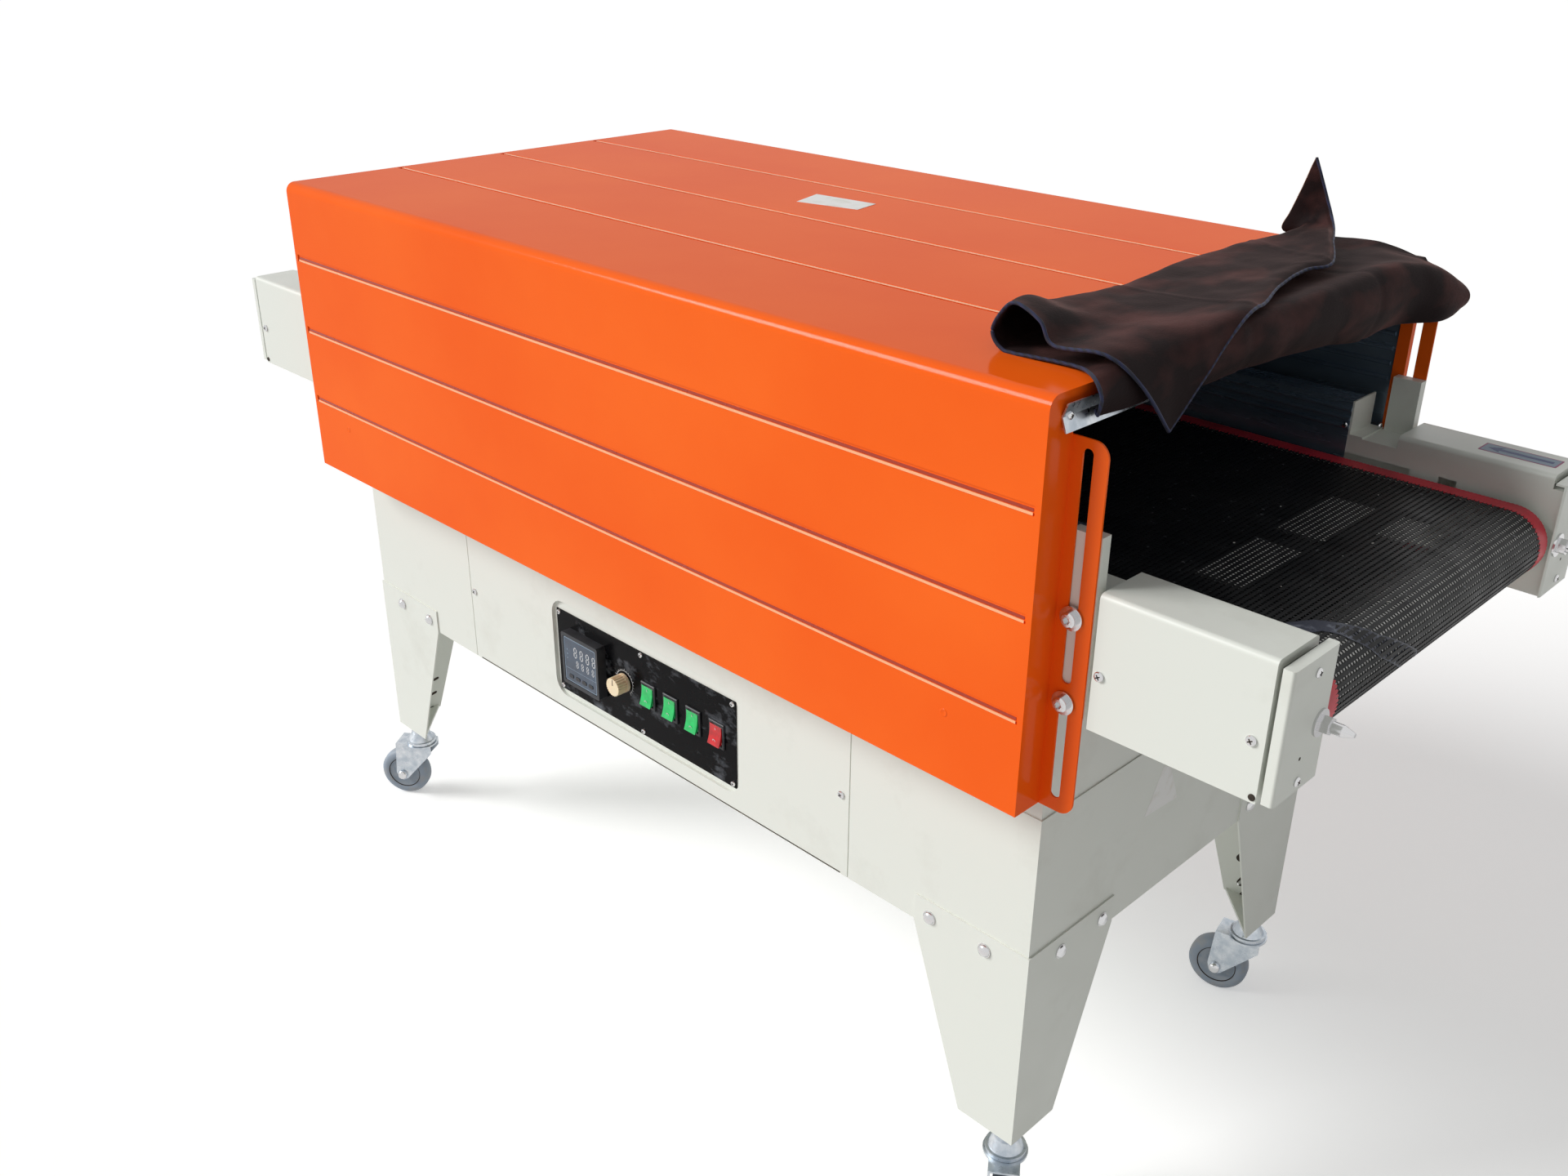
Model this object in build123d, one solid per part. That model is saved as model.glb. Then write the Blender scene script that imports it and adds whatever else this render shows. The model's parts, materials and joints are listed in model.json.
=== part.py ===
from build123d import *
import math
import os

os.makedirs("parts", exist_ok=True)

# Infrared tunnel dryer. X runs along the conveyor and the infeed end is +X.
# The control panel faces -Y. The origin is on the floor, under the middle of the hood.

# Hood: a folded steel cover with a double wall, clamped at four slotted ears
HOOD_LENGTH = 1200
HOOD_HEIGHT = 383
HOOD_BELOW_DECK = 95
HOOD_BEND = 12
HOOD_SHEET = 1.5
HOOD_WALL = 34
GROOVE_WIDTH = 9
GROOVE_DEPTH = 1.6
GROOVE_END = 6
GROOVE_PANELS = 4
LINER_SHEET = 1.2
HOOD_LIFT = 55

# Ears of the hood and the bolts that clamp them
EAR_REACH = 35
EAR_HEIGHT = 345
EAR_SHEET = 2
EAR_CORNER = 14
SLOT_WIDTH = 10
SLOT_FROM_END = 16
SLOT_SPARE = 2
UPPER_SLOT_TOP = 337
LOWER_SLOT_FOOT = 13
CLAMP_BOLT_RADIUS = 4
CLAMP_BOLT_HEIGHTS = (189, 109)
WASHER_RADIUS = 11
WASHER_THICKNESS = 2
BOLT_HEAD_RADIUS = 7
BOLT_HEAD_HEIGHT = 6
BOLT_HEAD_BEVEL = 1.5
SLIDE_GAP = 0.3

# Base cabinet and the tunnel box on it
BASE_SETBACK = 10
RAIL_OVERHANG = 13
BASE_BOTTOM = 336
CABINET_TOP = 527
DECK_TOP = 662
BASE_SHEET = 2
DECK_STEP = 1.5

# Folded legs
LEG_SHEET = 2
LEG_OVERLAP = 33
LEG_TOP_WIDTH = 144
LEG_FOOT_WIDTH = 71
FOOT_PLATE = 4

# Swivel casters
WHEEL_RADIUS = 38
WHEEL_WIDTH = 22
TREAD_BEVEL = 3
HUB_RADIUS = 24
HUB_DISH = 1.5
AXLE_RADIUS = 4
AXLE_HEAD_RADIUS = 7
AXLE_HEAD = 3
CASTER_OFFSET = 30
CASTER_INSET = 21
FORK_SHEET = 2.5
FORK_INNER_WIDTH = 28
FORK_CLEARANCE = 18
FORK_NOSE = 20
FORK_TAIL = 36
FORK_NOSE_DEPTH = 14
AXLE_EDGE = 10
CROWN_RADIUS = 24
RACE_RADIUS = 22
RACE_HEIGHT = 5
DOME_RADIUS = 19
DOME_HEIGHT = 12
COLLAR_RADIUS = 13
STEM_LENGTH = 33
STEM_RADIUS = 6
STEM_BORE_GAP = 0.05
STEM_NUT_RADIUS = 11
STEM_NUT_HEIGHT = 9
RIVET_DROP = 6
CASTER_TURN = {"front_left": 215, "front_right": 305, "rear_left": 160, "rear_right": 192}

# Access panel in the front of the cabinet, with a pressed recess for the controls
ACCESS_HALF = 349
ACCESS_SEAM = 1.5
ACCESS_LEDGE = 14
ACCESS_SHEET = 1.5
PANEL_LEFT = -158
PANEL_RIGHT = 172.5
PANEL_BOTTOM = 364
PANEL_TOP = 478
PANEL_THICKNESS = 1.5
PANEL_MARGIN_TOP = 14
PANEL_MARGIN = 7
RECESS_DEPTH = 4
RECESS_CORNER = 22

# Controls
CONTROLLER_SIDE = 72
CONTROLLER_X = -98
CONTROLLER_Z = 423
CONTROLLER_DEPTH = 13
CONTROLLER_CORNER = 2
KNOB_X = -26
KNOB_Z = 424
KNOB_RADIUS = 12
KNOB_LENGTH = 18
KNOB_SKIRT = 4
KNOB_RIB = 1
KNOB_SHAFT_RADIUS = 3
KNOB_RIBS = 24
ROCKER_X = 20
ROCKER_PITCH = 40.5
ROCKER_COUNT = 4
ROCKER_Z = 424
ROCKER_WIDTH = 19
ROCKER_HEIGHT = 25.5
ROCKER_CROWN = 3.2
ROCKER_DISH = 1.6
ROCKER_ROOT = 1.4
ROCKER_TAPER = 0.7
ROCKER_SLEEVE_WIDTH = 22
ROCKER_SLEEVE_HEIGHT = 29
SLEEVE_GAP = 0.2
ROCKER_BEZEL_WIDTH = 25
ROCKER_BEZEL_HEIGHT = 33
ROCKER_BEZEL = 2.5
ROCKER_TILT = 10
ROCKER_PLAY = 0.5

# Belt conveyor. The widths of the rails, ears and hood follow from the belt's.
BELT_WIDTH = 448
BELT_THICKNESS = 1.5
BELT_GAP = 12
ROLLER_RADIUS = 34.5
ROLLER_BELOW_RAIL = 56
ROLLER_FROM_END = 37
ROLLER_SHAFT_RADIUS = 8
SHAFT_STUB = 8
RAIL_BEYOND = 210
RAIL_DEPTH = 48
RAIL_HEIGHT = 112
RAIL_SHEET = 2
RAIL_LIP = 18
RAIL_FOOT = 40
BEARING_LENGTH = 151
BEARING_SHEET = 3
NOTCH_START = 121
NOTCH_END = 102
NOTCH_DEPTH = 40
COVER_LENGTH = 156
COVER_FROM_END = 12
COVER_SPREAD = 14.4
COVER_LIP_GAP = 0.3
COVER_RISE = 14
COVER_SHEET = 1.5
COVER_RETURN = 9
COVER_CORNER = 5
END_PLATE_SPREAD = 14
END_PLATE_GAP = 4
END_PLATE_RISE = 9
END_PLATE_LIFT = 2
END_PLATE_SHEET = 2
END_PLATE_FLANGE = 10
END_PLATE_BEND = 3
TENSIONER_INSET = 5
TENSIONER_REACH = 29
TENSIONER_RING = 12
TENSIONER_NUT = 8
TENSIONER_STUD = 5

# Posts that carry the ears, brackets and heat shields in the tunnel
POST_LENGTH = 30
POST_GAP = 6
POST_DEPTH = 9.7
POST_RISE = 59
POST_LIFT = 4
SHIELD_RISE = 38
SHIELD_SHEET = 1.2
SHIELD_FOLD = 5
SHIELD_FOLDS = 3
SHIELD_SETBACK = 12
SHIELD_CAP = 30
BRACKET_WIDTH = 48
BRACKET_FOOT = 16
BRACKET_SHEET = 2

# Curtain and its clamp strips
STRIP_HEIGHT = 24
STRIP_SHEET = 1.5
STRIP_BEND = 6
STRIP_BELOW_TOP = 8
STRIP_INSET = 16
CURTAIN_GAP = 0.3
CURTAIN_PAD = 18
CURTAIN_ON_TOP = 138
CURTAIN_FRONT_INSET = 68
CURTAIN_REAR_REACH = 5
CURTAIN_BULGE = 20
CURTAIN_DROP = 36
CURTAIN_ROLL = 21
CURTAIN_ROLL_LENGTH = 120
CURTAIN_TIP_INSET = 165
CURTAIN_TIP_DROP = 62
CURTAIN_TIP_HALF = 110
CURTAIN_OVERHANG = 15
CURTAIN_END = 80
FLAP_BACK = 131
FLAP_INSET = 32
FLAP_WIDTH = (44, 30)
FLAP_HEIGHT = 70
FLAP_THICKNESS = 5

BELT_HALF = BELT_WIDTH / 2
BELT_RADIUS = ROLLER_RADIUS + BELT_THICKNESS
RAIL_INNER = BELT_HALF + BELT_GAP
RAIL_OUTER = RAIL_INNER + RAIL_DEPTH
RAIL_TOP = DECK_TOP + RAIL_HEIGHT
ROLLER_Z = RAIL_TOP - ROLLER_BELOW_RAIL
POST_FACE = RAIL_OUTER + POST_DEPTH
EAR_FACE = POST_FACE + SLIDE_GAP + EAR_SHEET
LINER_FACE = EAR_FACE
HOOD_FACE = LINER_FACE + HOOD_WALL
HOOD_WIDTH = 2 * HOOD_FACE
HOOD_HALF = HOOD_LENGTH / 2
HOOD_BOTTOM = DECK_TOP - HOOD_BELOW_DECK
HOOD_TOP = HOOD_BOTTOM + HOOD_HEIGHT
LINER_TOP = HOOD_TOP - HOOD_WALL
RAIL_REACH = HOOD_HALF + RAIL_BEYOND
ROLLER_X = RAIL_REACH - ROLLER_FROM_END
POST_START = HOOD_HALF + POST_GAP
SHIELD_REACH = HOOD_HALF - SHIELD_SETBACK
SHIELD_TOP = RAIL_TOP + SHIELD_RISE
COVER_OUTER = RAIL_OUTER + COVER_SPREAD
COVER_INNER = RAIL_INNER - COVER_LIP_GAP
COVER_TOP = RAIL_TOP + COVER_RISE
COVER_END = RAIL_REACH - COVER_FROM_END
COVER_START = COVER_END - COVER_LENGTH
BASE_HALF = HOOD_HALF - BASE_SETBACK
LEG_FACE = RAIL_OUTER - RAIL_OVERHANG
CABINET_FACE = LEG_FACE - LEG_SHEET
CABINET_HALF = BASE_HALF - LEG_SHEET
RECESS_FACE = CABINET_FACE - RECESS_DEPTH
PANEL_FACE = RECESS_FACE + PANEL_THICKNESS
FORK_TOP = 2 * WHEEL_RADIUS + FORK_CLEARANCE
LEG_FOOT = FORK_TOP + STEM_LENGTH
STRIP_TOP = HOOD_TOP - STRIP_BELOW_TOP


def block(x0, x1, y0, y1, z0, z1):
    """A box between two corners, given in any order."""
    size = (abs(x1 - x0), abs(y1 - y0), abs(z1 - z0))
    middle = ((x0 + x1) / 2, (y0 + y1) / 2, (z0 + z1) / 2)
    return Pos(*middle) * Box(*size)


def rod_x(x0, x1, y, z, radius):
    """A round bar along X."""
    return Pos((x0 + x1) / 2, y, z) * Rot(0, 90, 0) * Cylinder(radius, abs(x1 - x0))


def rod_y(x, y0, y1, z, radius):
    """A round bar along Y."""
    return Pos(x, (y0 + y1) / 2, z) * Rot(90, 0, 0) * Cylinder(radius, abs(y1 - y0))


def mirror_y(shape):
    """The same piece on the other side of the conveyor."""
    return mirror(shape, about=Plane.XZ)


def mirror_x(shape):
    """The same piece at the other end of the conveyor."""
    return mirror(shape, about=Plane.YZ)


def write(shape, name):
    """Write one node, with several solids where the pieces do not touch."""
    solids = shape.solids()
    out = solids[0] if len(solids) == 1 else Compound(children=list(solids))
    export_step(out, "parts/" + name + ".step")


def hood_section(half, top, bend, bottom):
    """The U-shaped outline of the hood in the YZ plane, upside down."""
    line = Polyline((-half, bottom), (-half, top), (half, top), (half, bottom), close=True)
    face = make_face(line)
    corners = face.vertices().sort_by(Axis.Y)[-2:]
    return fillet(corners, bend) if bend > 0 else face


def hood_prism(half, top, bend, bottom, x0, x1):
    section = Plane.YZ * hood_section(half, top, bend, bottom)
    return Pos(x0, 0, 0) * extrude(section, x1 - x0, dir=(1, 0, 0))


def groove_places():
    """Heights of the grooves on the walls and their places across the top."""
    heights = [HOOD_BOTTOM + HOOD_HEIGHT * k / GROOVE_PANELS for k in range(1, GROOVE_PANELS)]
    across = [-HOOD_FACE + HOOD_WIDTH * k / GROOVE_PANELS for k in range(1, GROOVE_PANELS)]
    return heights, across


def groove_beads(shell_depth, width):
    """Bars that run along the hood where its walls and top are pressed in."""
    heights, across = groove_places()
    reach = HOOD_HALF - GROOVE_END
    bars = []
    for z in heights:
        for side in (-1, 1):
            outer = side * (HOOD_FACE + 1)
            inner = side * (HOOD_FACE - shell_depth)
            bars.append(block(-reach, reach, outer, inner, z - width / 2, z + width / 2))
    for y in across:
        bars.append(block(-reach, reach, y - width / 2, y + width / 2, HOOD_TOP - shell_depth, HOOD_TOP + 1))
    return bars


def slot_ends():
    """Lowest and highest point of the two slots of an ear, above the hood's bottom."""
    spare = SLOT_WIDTH / 2 + SLOT_SPARE
    upper = (CLAMP_BOLT_HEIGHTS[0] - HOOD_LIFT - spare, UPPER_SLOT_TOP)
    lower = (LOWER_SLOT_FOOT, CLAMP_BOLT_HEIGHTS[1] + spare)
    return upper, lower


def ear(side_y, end_x):
    """A slotted ear that stands out of the hood's end, with its slots cut."""
    x0 = end_x * (HOOD_HALF - EAR_SHEET)
    x1 = end_x * (HOOD_HALF + EAR_REACH)
    middle = end_x * (HOOD_HALF + SLOT_FROM_END)
    outline = Pos((x0 + x1) / 2, HOOD_BOTTOM + EAR_HEIGHT / 2) * Rectangle(abs(x1 - x0), EAR_HEIGHT)
    tips = outline.vertices().sort_by(Axis.X)
    tips = tips[-2:] if end_x > 0 else tips[:2]
    outline = fillet(tips, EAR_CORNER)
    for low, high in slot_ends():
        slot = SlotOverall(high - low, SLOT_WIDTH, rotation=90)
        outline -= Pos(middle, HOOD_BOTTOM + (low + high) / 2) * slot
    plate = extrude(Plane.XZ * outline, EAR_SHEET)
    plate = Pos(0, -plate.bounding_box().min.Y, 0) * plate
    return Pos(0, EAR_FACE - EAR_SHEET if side_y > 0 else -EAR_FACE, 0) * plate


def hood_shell():
    outer = hood_prism(HOOD_FACE, HOOD_TOP, HOOD_BEND, HOOD_BOTTOM, -HOOD_HALF, HOOD_HALF)
    cavity = hood_prism(HOOD_FACE - HOOD_SHEET, HOOD_TOP - HOOD_SHEET, HOOD_BEND - HOOD_SHEET,
                        HOOD_BOTTOM + HOOD_SHEET, -HOOD_HALF + HOOD_SHEET, HOOD_HALF - HOOD_SHEET)
    passage = hood_prism(LINER_FACE, LINER_TOP, 0, HOOD_BOTTOM - 1, -HOOD_HALF - 1, HOOD_HALF + 1)
    shell = outer - cavity - passage
    envelope = hood_prism(HOOD_FACE, HOOD_TOP, HOOD_BEND, HOOD_BOTTOM, -HOOD_HALF, HOOD_HALF)
    beads = groove_beads(GROOVE_DEPTH + HOOD_SHEET, GROOVE_WIDTH + 2 * HOOD_SHEET)
    shell = shell + [bead & envelope for bead in beads]
    shell = shell - groove_beads(GROOVE_DEPTH, GROOVE_WIDTH)
    shell = shell + [ear(sy, ex) for sy in (-1, 1) for ex in (-1, 1)]
    return shell


def hood_liner():
    """The polished inner skin, between the hood's two end frames."""
    reach = HOOD_HALF - HOOD_SHEET
    outer = hood_prism(LINER_FACE + LINER_SHEET, LINER_TOP + LINER_SHEET, 0,
                       HOOD_BOTTOM + HOOD_SHEET, -reach, reach)
    inner = hood_prism(LINER_FACE, LINER_TOP, 0, HOOD_BOTTOM, -HOOD_HALF, HOOD_HALF)
    return outer - inner


def clamp_bolts():
    """Socket screws with wide washers, two through each ear into the posts."""
    bolts = []
    for ex in (-1, 1):
        x = ex * (HOOD_HALF + SLOT_FROM_END)
        for height in CLAMP_BOLT_HEIGHTS:
            z = HOOD_BOTTOM + height
            start = -EAR_FACE - SLIDE_GAP
            washer = rod_y(x, start - WASHER_THICKNESS, start, z, WASHER_RADIUS)
            head_top = start - WASHER_THICKNESS - BOLT_HEAD_HEIGHT
            head = rod_y(x, head_top, start - WASHER_THICKNESS, z, BOLT_HEAD_RADIUS)
            head = chamfer(head.edges().filter_by(GeomType.CIRCLE).sort_by(Axis.Y)[0], BOLT_HEAD_BEVEL)
            hexagon = RegularPolygon(BOLT_HEAD_RADIUS / 2, 6)
            socket = extrude(Pos(x, head_top, z) * Rot(-90, 0, 0) * hexagon, BOLT_HEAD_HEIGHT / 2)
            shank = rod_y(x, start, -POST_FACE, z, CLAMP_BOLT_RADIUS)
            bolt = washer + (head - socket) + shank
            bolts += [bolt, mirror_y(bolt)]
    return Compound(children=bolts)


def cabinet():
    """The lower base box, open at the front behind the access panel."""
    outer = block(-CABINET_HALF, CABINET_HALF, -CABINET_FACE, CABINET_FACE, BASE_BOTTOM, CABINET_TOP)
    inner = block(-CABINET_HALF + BASE_SHEET, CABINET_HALF - BASE_SHEET,
                  -CABINET_FACE + BASE_SHEET, CABINET_FACE - BASE_SHEET,
                  BASE_BOTTOM + BASE_SHEET, CABINET_TOP + 1)
    seam = ACCESS_SEAM
    opening = block(-ACCESS_HALF - seam, ACCESS_HALF + seam, -CABINET_FACE - 1,
                    -CABINET_FACE + BASE_SHEET, BASE_BOTTOM - 1, CABINET_TOP + 1)
    shell = outer - inner - opening
    ledge_back = -CABINET_FACE + ACCESS_SHEET + BASE_SHEET
    ledge = block(-ACCESS_HALF - ACCESS_LEDGE, ACCESS_HALF + ACCESS_LEDGE, -CABINET_FACE + ACCESS_SHEET,
                  ledge_back, BASE_BOTTOM + BASE_SHEET, CABINET_TOP)
    window = block(-ACCESS_HALF + ACCESS_LEDGE, ACCESS_HALF - ACCESS_LEDGE, -CABINET_FACE,
                   ledge_back + 1, BASE_BOTTOM + ACCESS_LEDGE, CABINET_TOP - ACCESS_LEDGE)
    return shell + (ledge - window)


def tunnel_box():
    """The upper base box under the belt, closed by its deck."""
    step = DECK_STEP
    outer = block(-CABINET_HALF + step, CABINET_HALF - step, -CABINET_FACE + step,
                  CABINET_FACE - step, CABINET_TOP, DECK_TOP)
    inner = block(-CABINET_HALF + step + BASE_SHEET, CABINET_HALF - step - BASE_SHEET,
                  -CABINET_FACE + step + BASE_SHEET, CABINET_FACE - step - BASE_SHEET,
                  CABINET_TOP - 1, DECK_TOP - BASE_SHEET)
    return outer - inner


def recess_outline(grow):
    """The rounded outline of the pressed recess in the access panel."""
    left = PANEL_LEFT - PANEL_MARGIN - grow
    right = PANEL_RIGHT + PANEL_MARGIN + grow
    bottom = PANEL_BOTTOM - PANEL_MARGIN - grow
    top = PANEL_TOP + PANEL_MARGIN_TOP + grow
    middle = Pos((left + right) / 2, (bottom + top) / 2)
    return middle * RectangleRounded(right - left, top - bottom, RECESS_CORNER)


def front_prism(outline, y_front, depth):
    """A flat outline in X and Z, given depth towards the rear from y_front."""
    solid = extrude(Plane.XZ * outline, depth)
    return Pos(0, y_front - solid.bounding_box().min.Y, 0) * solid


def access_panel():
    face = -CABINET_FACE
    sheet = block(-ACCESS_HALF, ACCESS_HALF, face, face + ACCESS_SHEET, BASE_BOTTOM, CABINET_TOP)
    pan = front_prism(recess_outline(ACCESS_SHEET), face, RECESS_DEPTH + ACCESS_SHEET)
    hollow = front_prism(recess_outline(0), face - 1, RECESS_DEPTH + 1)
    return sheet + pan - hollow


def rocker_x(index):
    return ROCKER_X + index * ROCKER_PITCH


def rocker_block(index, width, height, y0, y1):
    """A box centred on one rocker, between two depths."""
    x = rocker_x(index)
    return block(x - width / 2, x + width / 2, y0, y1, ROCKER_Z - height / 2, ROCKER_Z + height / 2)


def control_plate():
    back = -RECESS_FACE
    plate = block(PANEL_LEFT, PANEL_RIGHT, back - PANEL_THICKNESS, back, PANEL_BOTTOM, PANEL_TOP)
    cut_width = ROCKER_SLEEVE_WIDTH + 2 * SLEEVE_GAP
    cut_height = ROCKER_SLEEVE_HEIGHT + 2 * SLEEVE_GAP
    cuts = [rocker_block(k, cut_width, cut_height, back - 2 * PANEL_THICKNESS, back + PANEL_THICKNESS)
            for k in range(ROCKER_COUNT)]
    return plate - cuts


def controller():
    """A square panel controller with a raised bezel round its face."""
    face = -PANEL_FACE - CONTROLLER_DEPTH
    half = CONTROLLER_SIDE / 2
    body = block(CONTROLLER_X - half, CONTROLLER_X + half, face, -PANEL_FACE,
                 CONTROLLER_Z - half, CONTROLLER_Z + half)
    body = chamfer(body.edges().filter_by(Axis.Y), CONTROLLER_CORNER)
    window = block(CONTROLLER_X - half + 4, CONTROLLER_X + half - 4, face - 1, face + 1,
                   CONTROLLER_Z - half + 5, CONTROLLER_Z + half - 5)
    return body - window


def ribbed_outline():
    """The toothed outline of the knob's grip, about its own middle."""
    points = []
    for k in range(2 * KNOB_RIBS):
        radius = KNOB_RADIUS - (KNOB_RIB if k % 2 else 0)
        turn = math.pi * k / KNOB_RIBS
        points.append((radius * math.cos(turn), radius * math.sin(turn)))
    return make_face(Polyline(*points, close=True))


def speed_knob():
    """A ribbed knob that turns on its shaft bush."""
    base = -PANEL_FACE - 1
    grip = extrude(Plane.XZ * ribbed_outline(), KNOB_LENGTH - KNOB_SKIRT)
    grip = Pos(KNOB_X, base - KNOB_LENGTH - grip.bounding_box().min.Y, KNOB_Z) * grip
    skirt = rod_y(KNOB_X, base - KNOB_SKIRT, base, KNOB_Z, KNOB_RADIUS)
    bore = rod_y(KNOB_X, base - KNOB_LENGTH / 2, base + 1, KNOB_Z, KNOB_SHAFT_RADIUS + STEM_BORE_GAP)
    return grip + skirt - bore


def knob_shaft():
    """The potentiometer's threaded bush and shaft."""
    base = -PANEL_FACE
    shaft = rod_y(KNOB_X, base - 1 - KNOB_LENGTH / 2 + 1, base, KNOB_Z, KNOB_SHAFT_RADIUS)
    nut = rod_y(KNOB_X, base - 0.7, base, KNOB_Z, 7)
    return shaft + nut


def rocker_housings():
    """The black snap-in frames of the four rockers, which pass through the plate."""
    frames = []
    for k in range(ROCKER_COUNT):
        front = -PANEL_FACE - ROCKER_BEZEL
        bezel = rocker_block(k, ROCKER_BEZEL_WIDTH, ROCKER_BEZEL_HEIGHT, front, -PANEL_FACE)
        bezel = chamfer(bezel.edges().group_by(Axis.Y)[0], 0.8)
        sleeve = rocker_block(k, ROCKER_SLEEVE_WIDTH, ROCKER_SLEEVE_HEIGHT, -PANEL_FACE, -RECESS_FACE)
        well = rocker_block(k, ROCKER_WIDTH + 2 * ROCKER_PLAY, ROCKER_HEIGHT + 2 * ROCKER_PLAY,
                            front - 1, -RECESS_FACE + 1)
        frames.append(bezel + sleeve - well)
    return Compound(children=frames)


def rocker_key(index):
    """A rocker key with a dished face, pressed in at the top."""
    pivot_y = -PANEL_FACE - ROCKER_BEZEL
    half = ROCKER_HEIGHT / 2
    face = ThreePointArc((-half, ROCKER_CROWN), (0, ROCKER_CROWN - ROCKER_DISH), (half, ROCKER_CROWN))
    sides = Polyline((half, ROCKER_CROWN), (half * ROCKER_TAPER, -ROCKER_ROOT),
                     (-half * ROCKER_TAPER, -ROCKER_ROOT), (-half, ROCKER_CROWN))
    section = make_face([face, sides])
    key = Rot(90, 0, 0) * extrude(Plane.YZ * section, ROCKER_WIDTH / 2, both=True)
    return Pos(rocker_x(index), pivot_y, ROCKER_Z) * Rot(-ROCKER_TILT, 0, 0) * key


def leg(side_y, end_x):
    """A folded leg: two tapered flanges that meet at the corner, over a three-sided foot plate."""
    points = [(0, BASE_BOTTOM + LEG_OVERLAP), (LEG_TOP_WIDTH, BASE_BOTTOM + LEG_OVERLAP),
              (LEG_TOP_WIDTH, BASE_BOTTOM), (LEG_FOOT_WIDTH, LEG_FOOT), (0, LEG_FOOT)]
    flange = make_face(Polyline(*points, close=True))
    front = extrude(Plane.XZ * flange, LEG_SHEET)
    front = Pos(0, -front.bounding_box().min.Y, 0) * front
    side = extrude(Plane.YZ * flange, LEG_SHEET)
    side = Pos(-side.bounding_box().min.X, 0, 0) * side
    triangle = make_face(Polyline((0, 0), (LEG_FOOT_WIDTH, 0), (0, LEG_FOOT_WIDTH), close=True))
    plate = extrude(Pos(0, 0, LEG_FOOT) * triangle, FOOT_PLATE)
    hole = Pos(CASTER_INSET, CASTER_INSET, LEG_FOOT) * Cylinder(STEM_RADIUS, 4 * FOOT_PLATE)
    corner = Pos(-BASE_HALF, -LEG_FACE, 0) * (front + side + plate - hole)
    if end_x > 0:
        corner = mirror_x(corner)
    return mirror_y(corner) if side_y > 0 else corner


def caster_place(name):
    """The swivel axis of one caster."""
    x = BASE_HALF - CASTER_INSET
    y = LEG_FACE - CASTER_INSET
    return -x if name.endswith("left") else x, -y if name.startswith("front") else y


def caster_stem(name):
    """The threaded stem with its nut, collar and the upper ball race."""
    x, y = caster_place(name)
    low = FORK_TOP + SLIDE_GAP
    dome_low = low + RACE_HEIGHT
    collar_low = dome_low + DOME_HEIGHT
    race = Pos(x, y, low + RACE_HEIGHT / 2) * Cylinder(RACE_RADIUS, RACE_HEIGHT)
    dome = Pos(x, y, dome_low + DOME_HEIGHT / 2) * Cone(DOME_RADIUS, COLLAR_RADIUS, DOME_HEIGHT)
    collar = Pos(x, y, (collar_low + LEG_FOOT) / 2) * Cylinder(COLLAR_RADIUS, LEG_FOOT - collar_low)
    stem_height = STEM_NUT_HEIGHT + FOOT_PLATE + 3
    stem = Pos(x, y, LEG_FOOT + stem_height / 2) * Cylinder(STEM_RADIUS, stem_height)
    nut = extrude(Pos(x, y, LEG_FOOT + FOOT_PLATE) * RegularPolygon(STEM_NUT_RADIUS, 6), STEM_NUT_HEIGHT)
    rivet_low = FORK_TOP - FORK_SHEET - RIVET_DROP
    rivet = Pos(x, y, (rivet_low + low) / 2) * Cylinder(STEM_RADIUS, low - rivet_low)
    foot = Pos(x, y, rivet_low - 1.5) * Cylinder(STEM_RADIUS + 3, 3)
    return race + dome + collar + stem + nut + rivet + foot


def to_caster(name, shape):
    """Place a caster piece, made at the origin and trailing along +X."""
    x, y = caster_place(name)
    return Pos(x, y, 0) * Rot(0, 0, CASTER_TURN[name]) * shape


def cheek_outline():
    """One side of the fork: upright behind the wheel and sloped in front of it."""
    nose_low = FORK_TOP - FORK_NOSE_DEPTH
    tip = AXLE_EDGE
    points = [(-FORK_NOSE, FORK_TOP), (FORK_TAIL, FORK_TOP), (CASTER_OFFSET + tip, WHEEL_RADIUS + tip / 3),
              (CASTER_OFFSET + tip * 0.7, WHEEL_RADIUS - tip * 0.7), (CASTER_OFFSET, WHEEL_RADIUS - tip),
              (CASTER_OFFSET - tip * 0.8, WHEEL_RADIUS - tip * 0.6), (-FORK_NOSE, nose_low)]
    return make_face(Polyline(*points, close=True))


def caster_fork(name):
    """The pressed fork: a round crown and a top plate over two cheeks, with the wheel axle."""
    half = FORK_INNER_WIDTH / 2
    outside = half + FORK_SHEET
    crown = Pos(0, 0, FORK_TOP - FORK_SHEET / 2) * Cylinder(CROWN_RADIUS, FORK_SHEET)
    bridge = block(0, FORK_TAIL, -outside, outside, FORK_TOP - FORK_SHEET, FORK_TOP)
    cheek = extrude(Plane.XZ * cheek_outline(), FORK_SHEET)
    cheek = Pos(0, half - cheek.bounding_box().min.Y, 0) * cheek
    swivel = Pos(0, 0, FORK_TOP) * Cylinder(STEM_RADIUS + STEM_BORE_GAP, FORK_TOP / 2)
    axle = rod_y(CASTER_OFFSET, -outside, outside, WHEEL_RADIUS, AXLE_RADIUS)
    head = rod_y(CASTER_OFFSET, outside, outside + AXLE_HEAD, WHEEL_RADIUS, AXLE_HEAD_RADIUS)
    head = chamfer(head.edges().filter_by(GeomType.CIRCLE).sort_by(Axis.Y)[-1], AXLE_HEAD / 2)
    fork = crown + bridge + cheek + mirror_y(cheek) + head + mirror_y(head) - swivel + axle
    return to_caster(name, fork)


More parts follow.
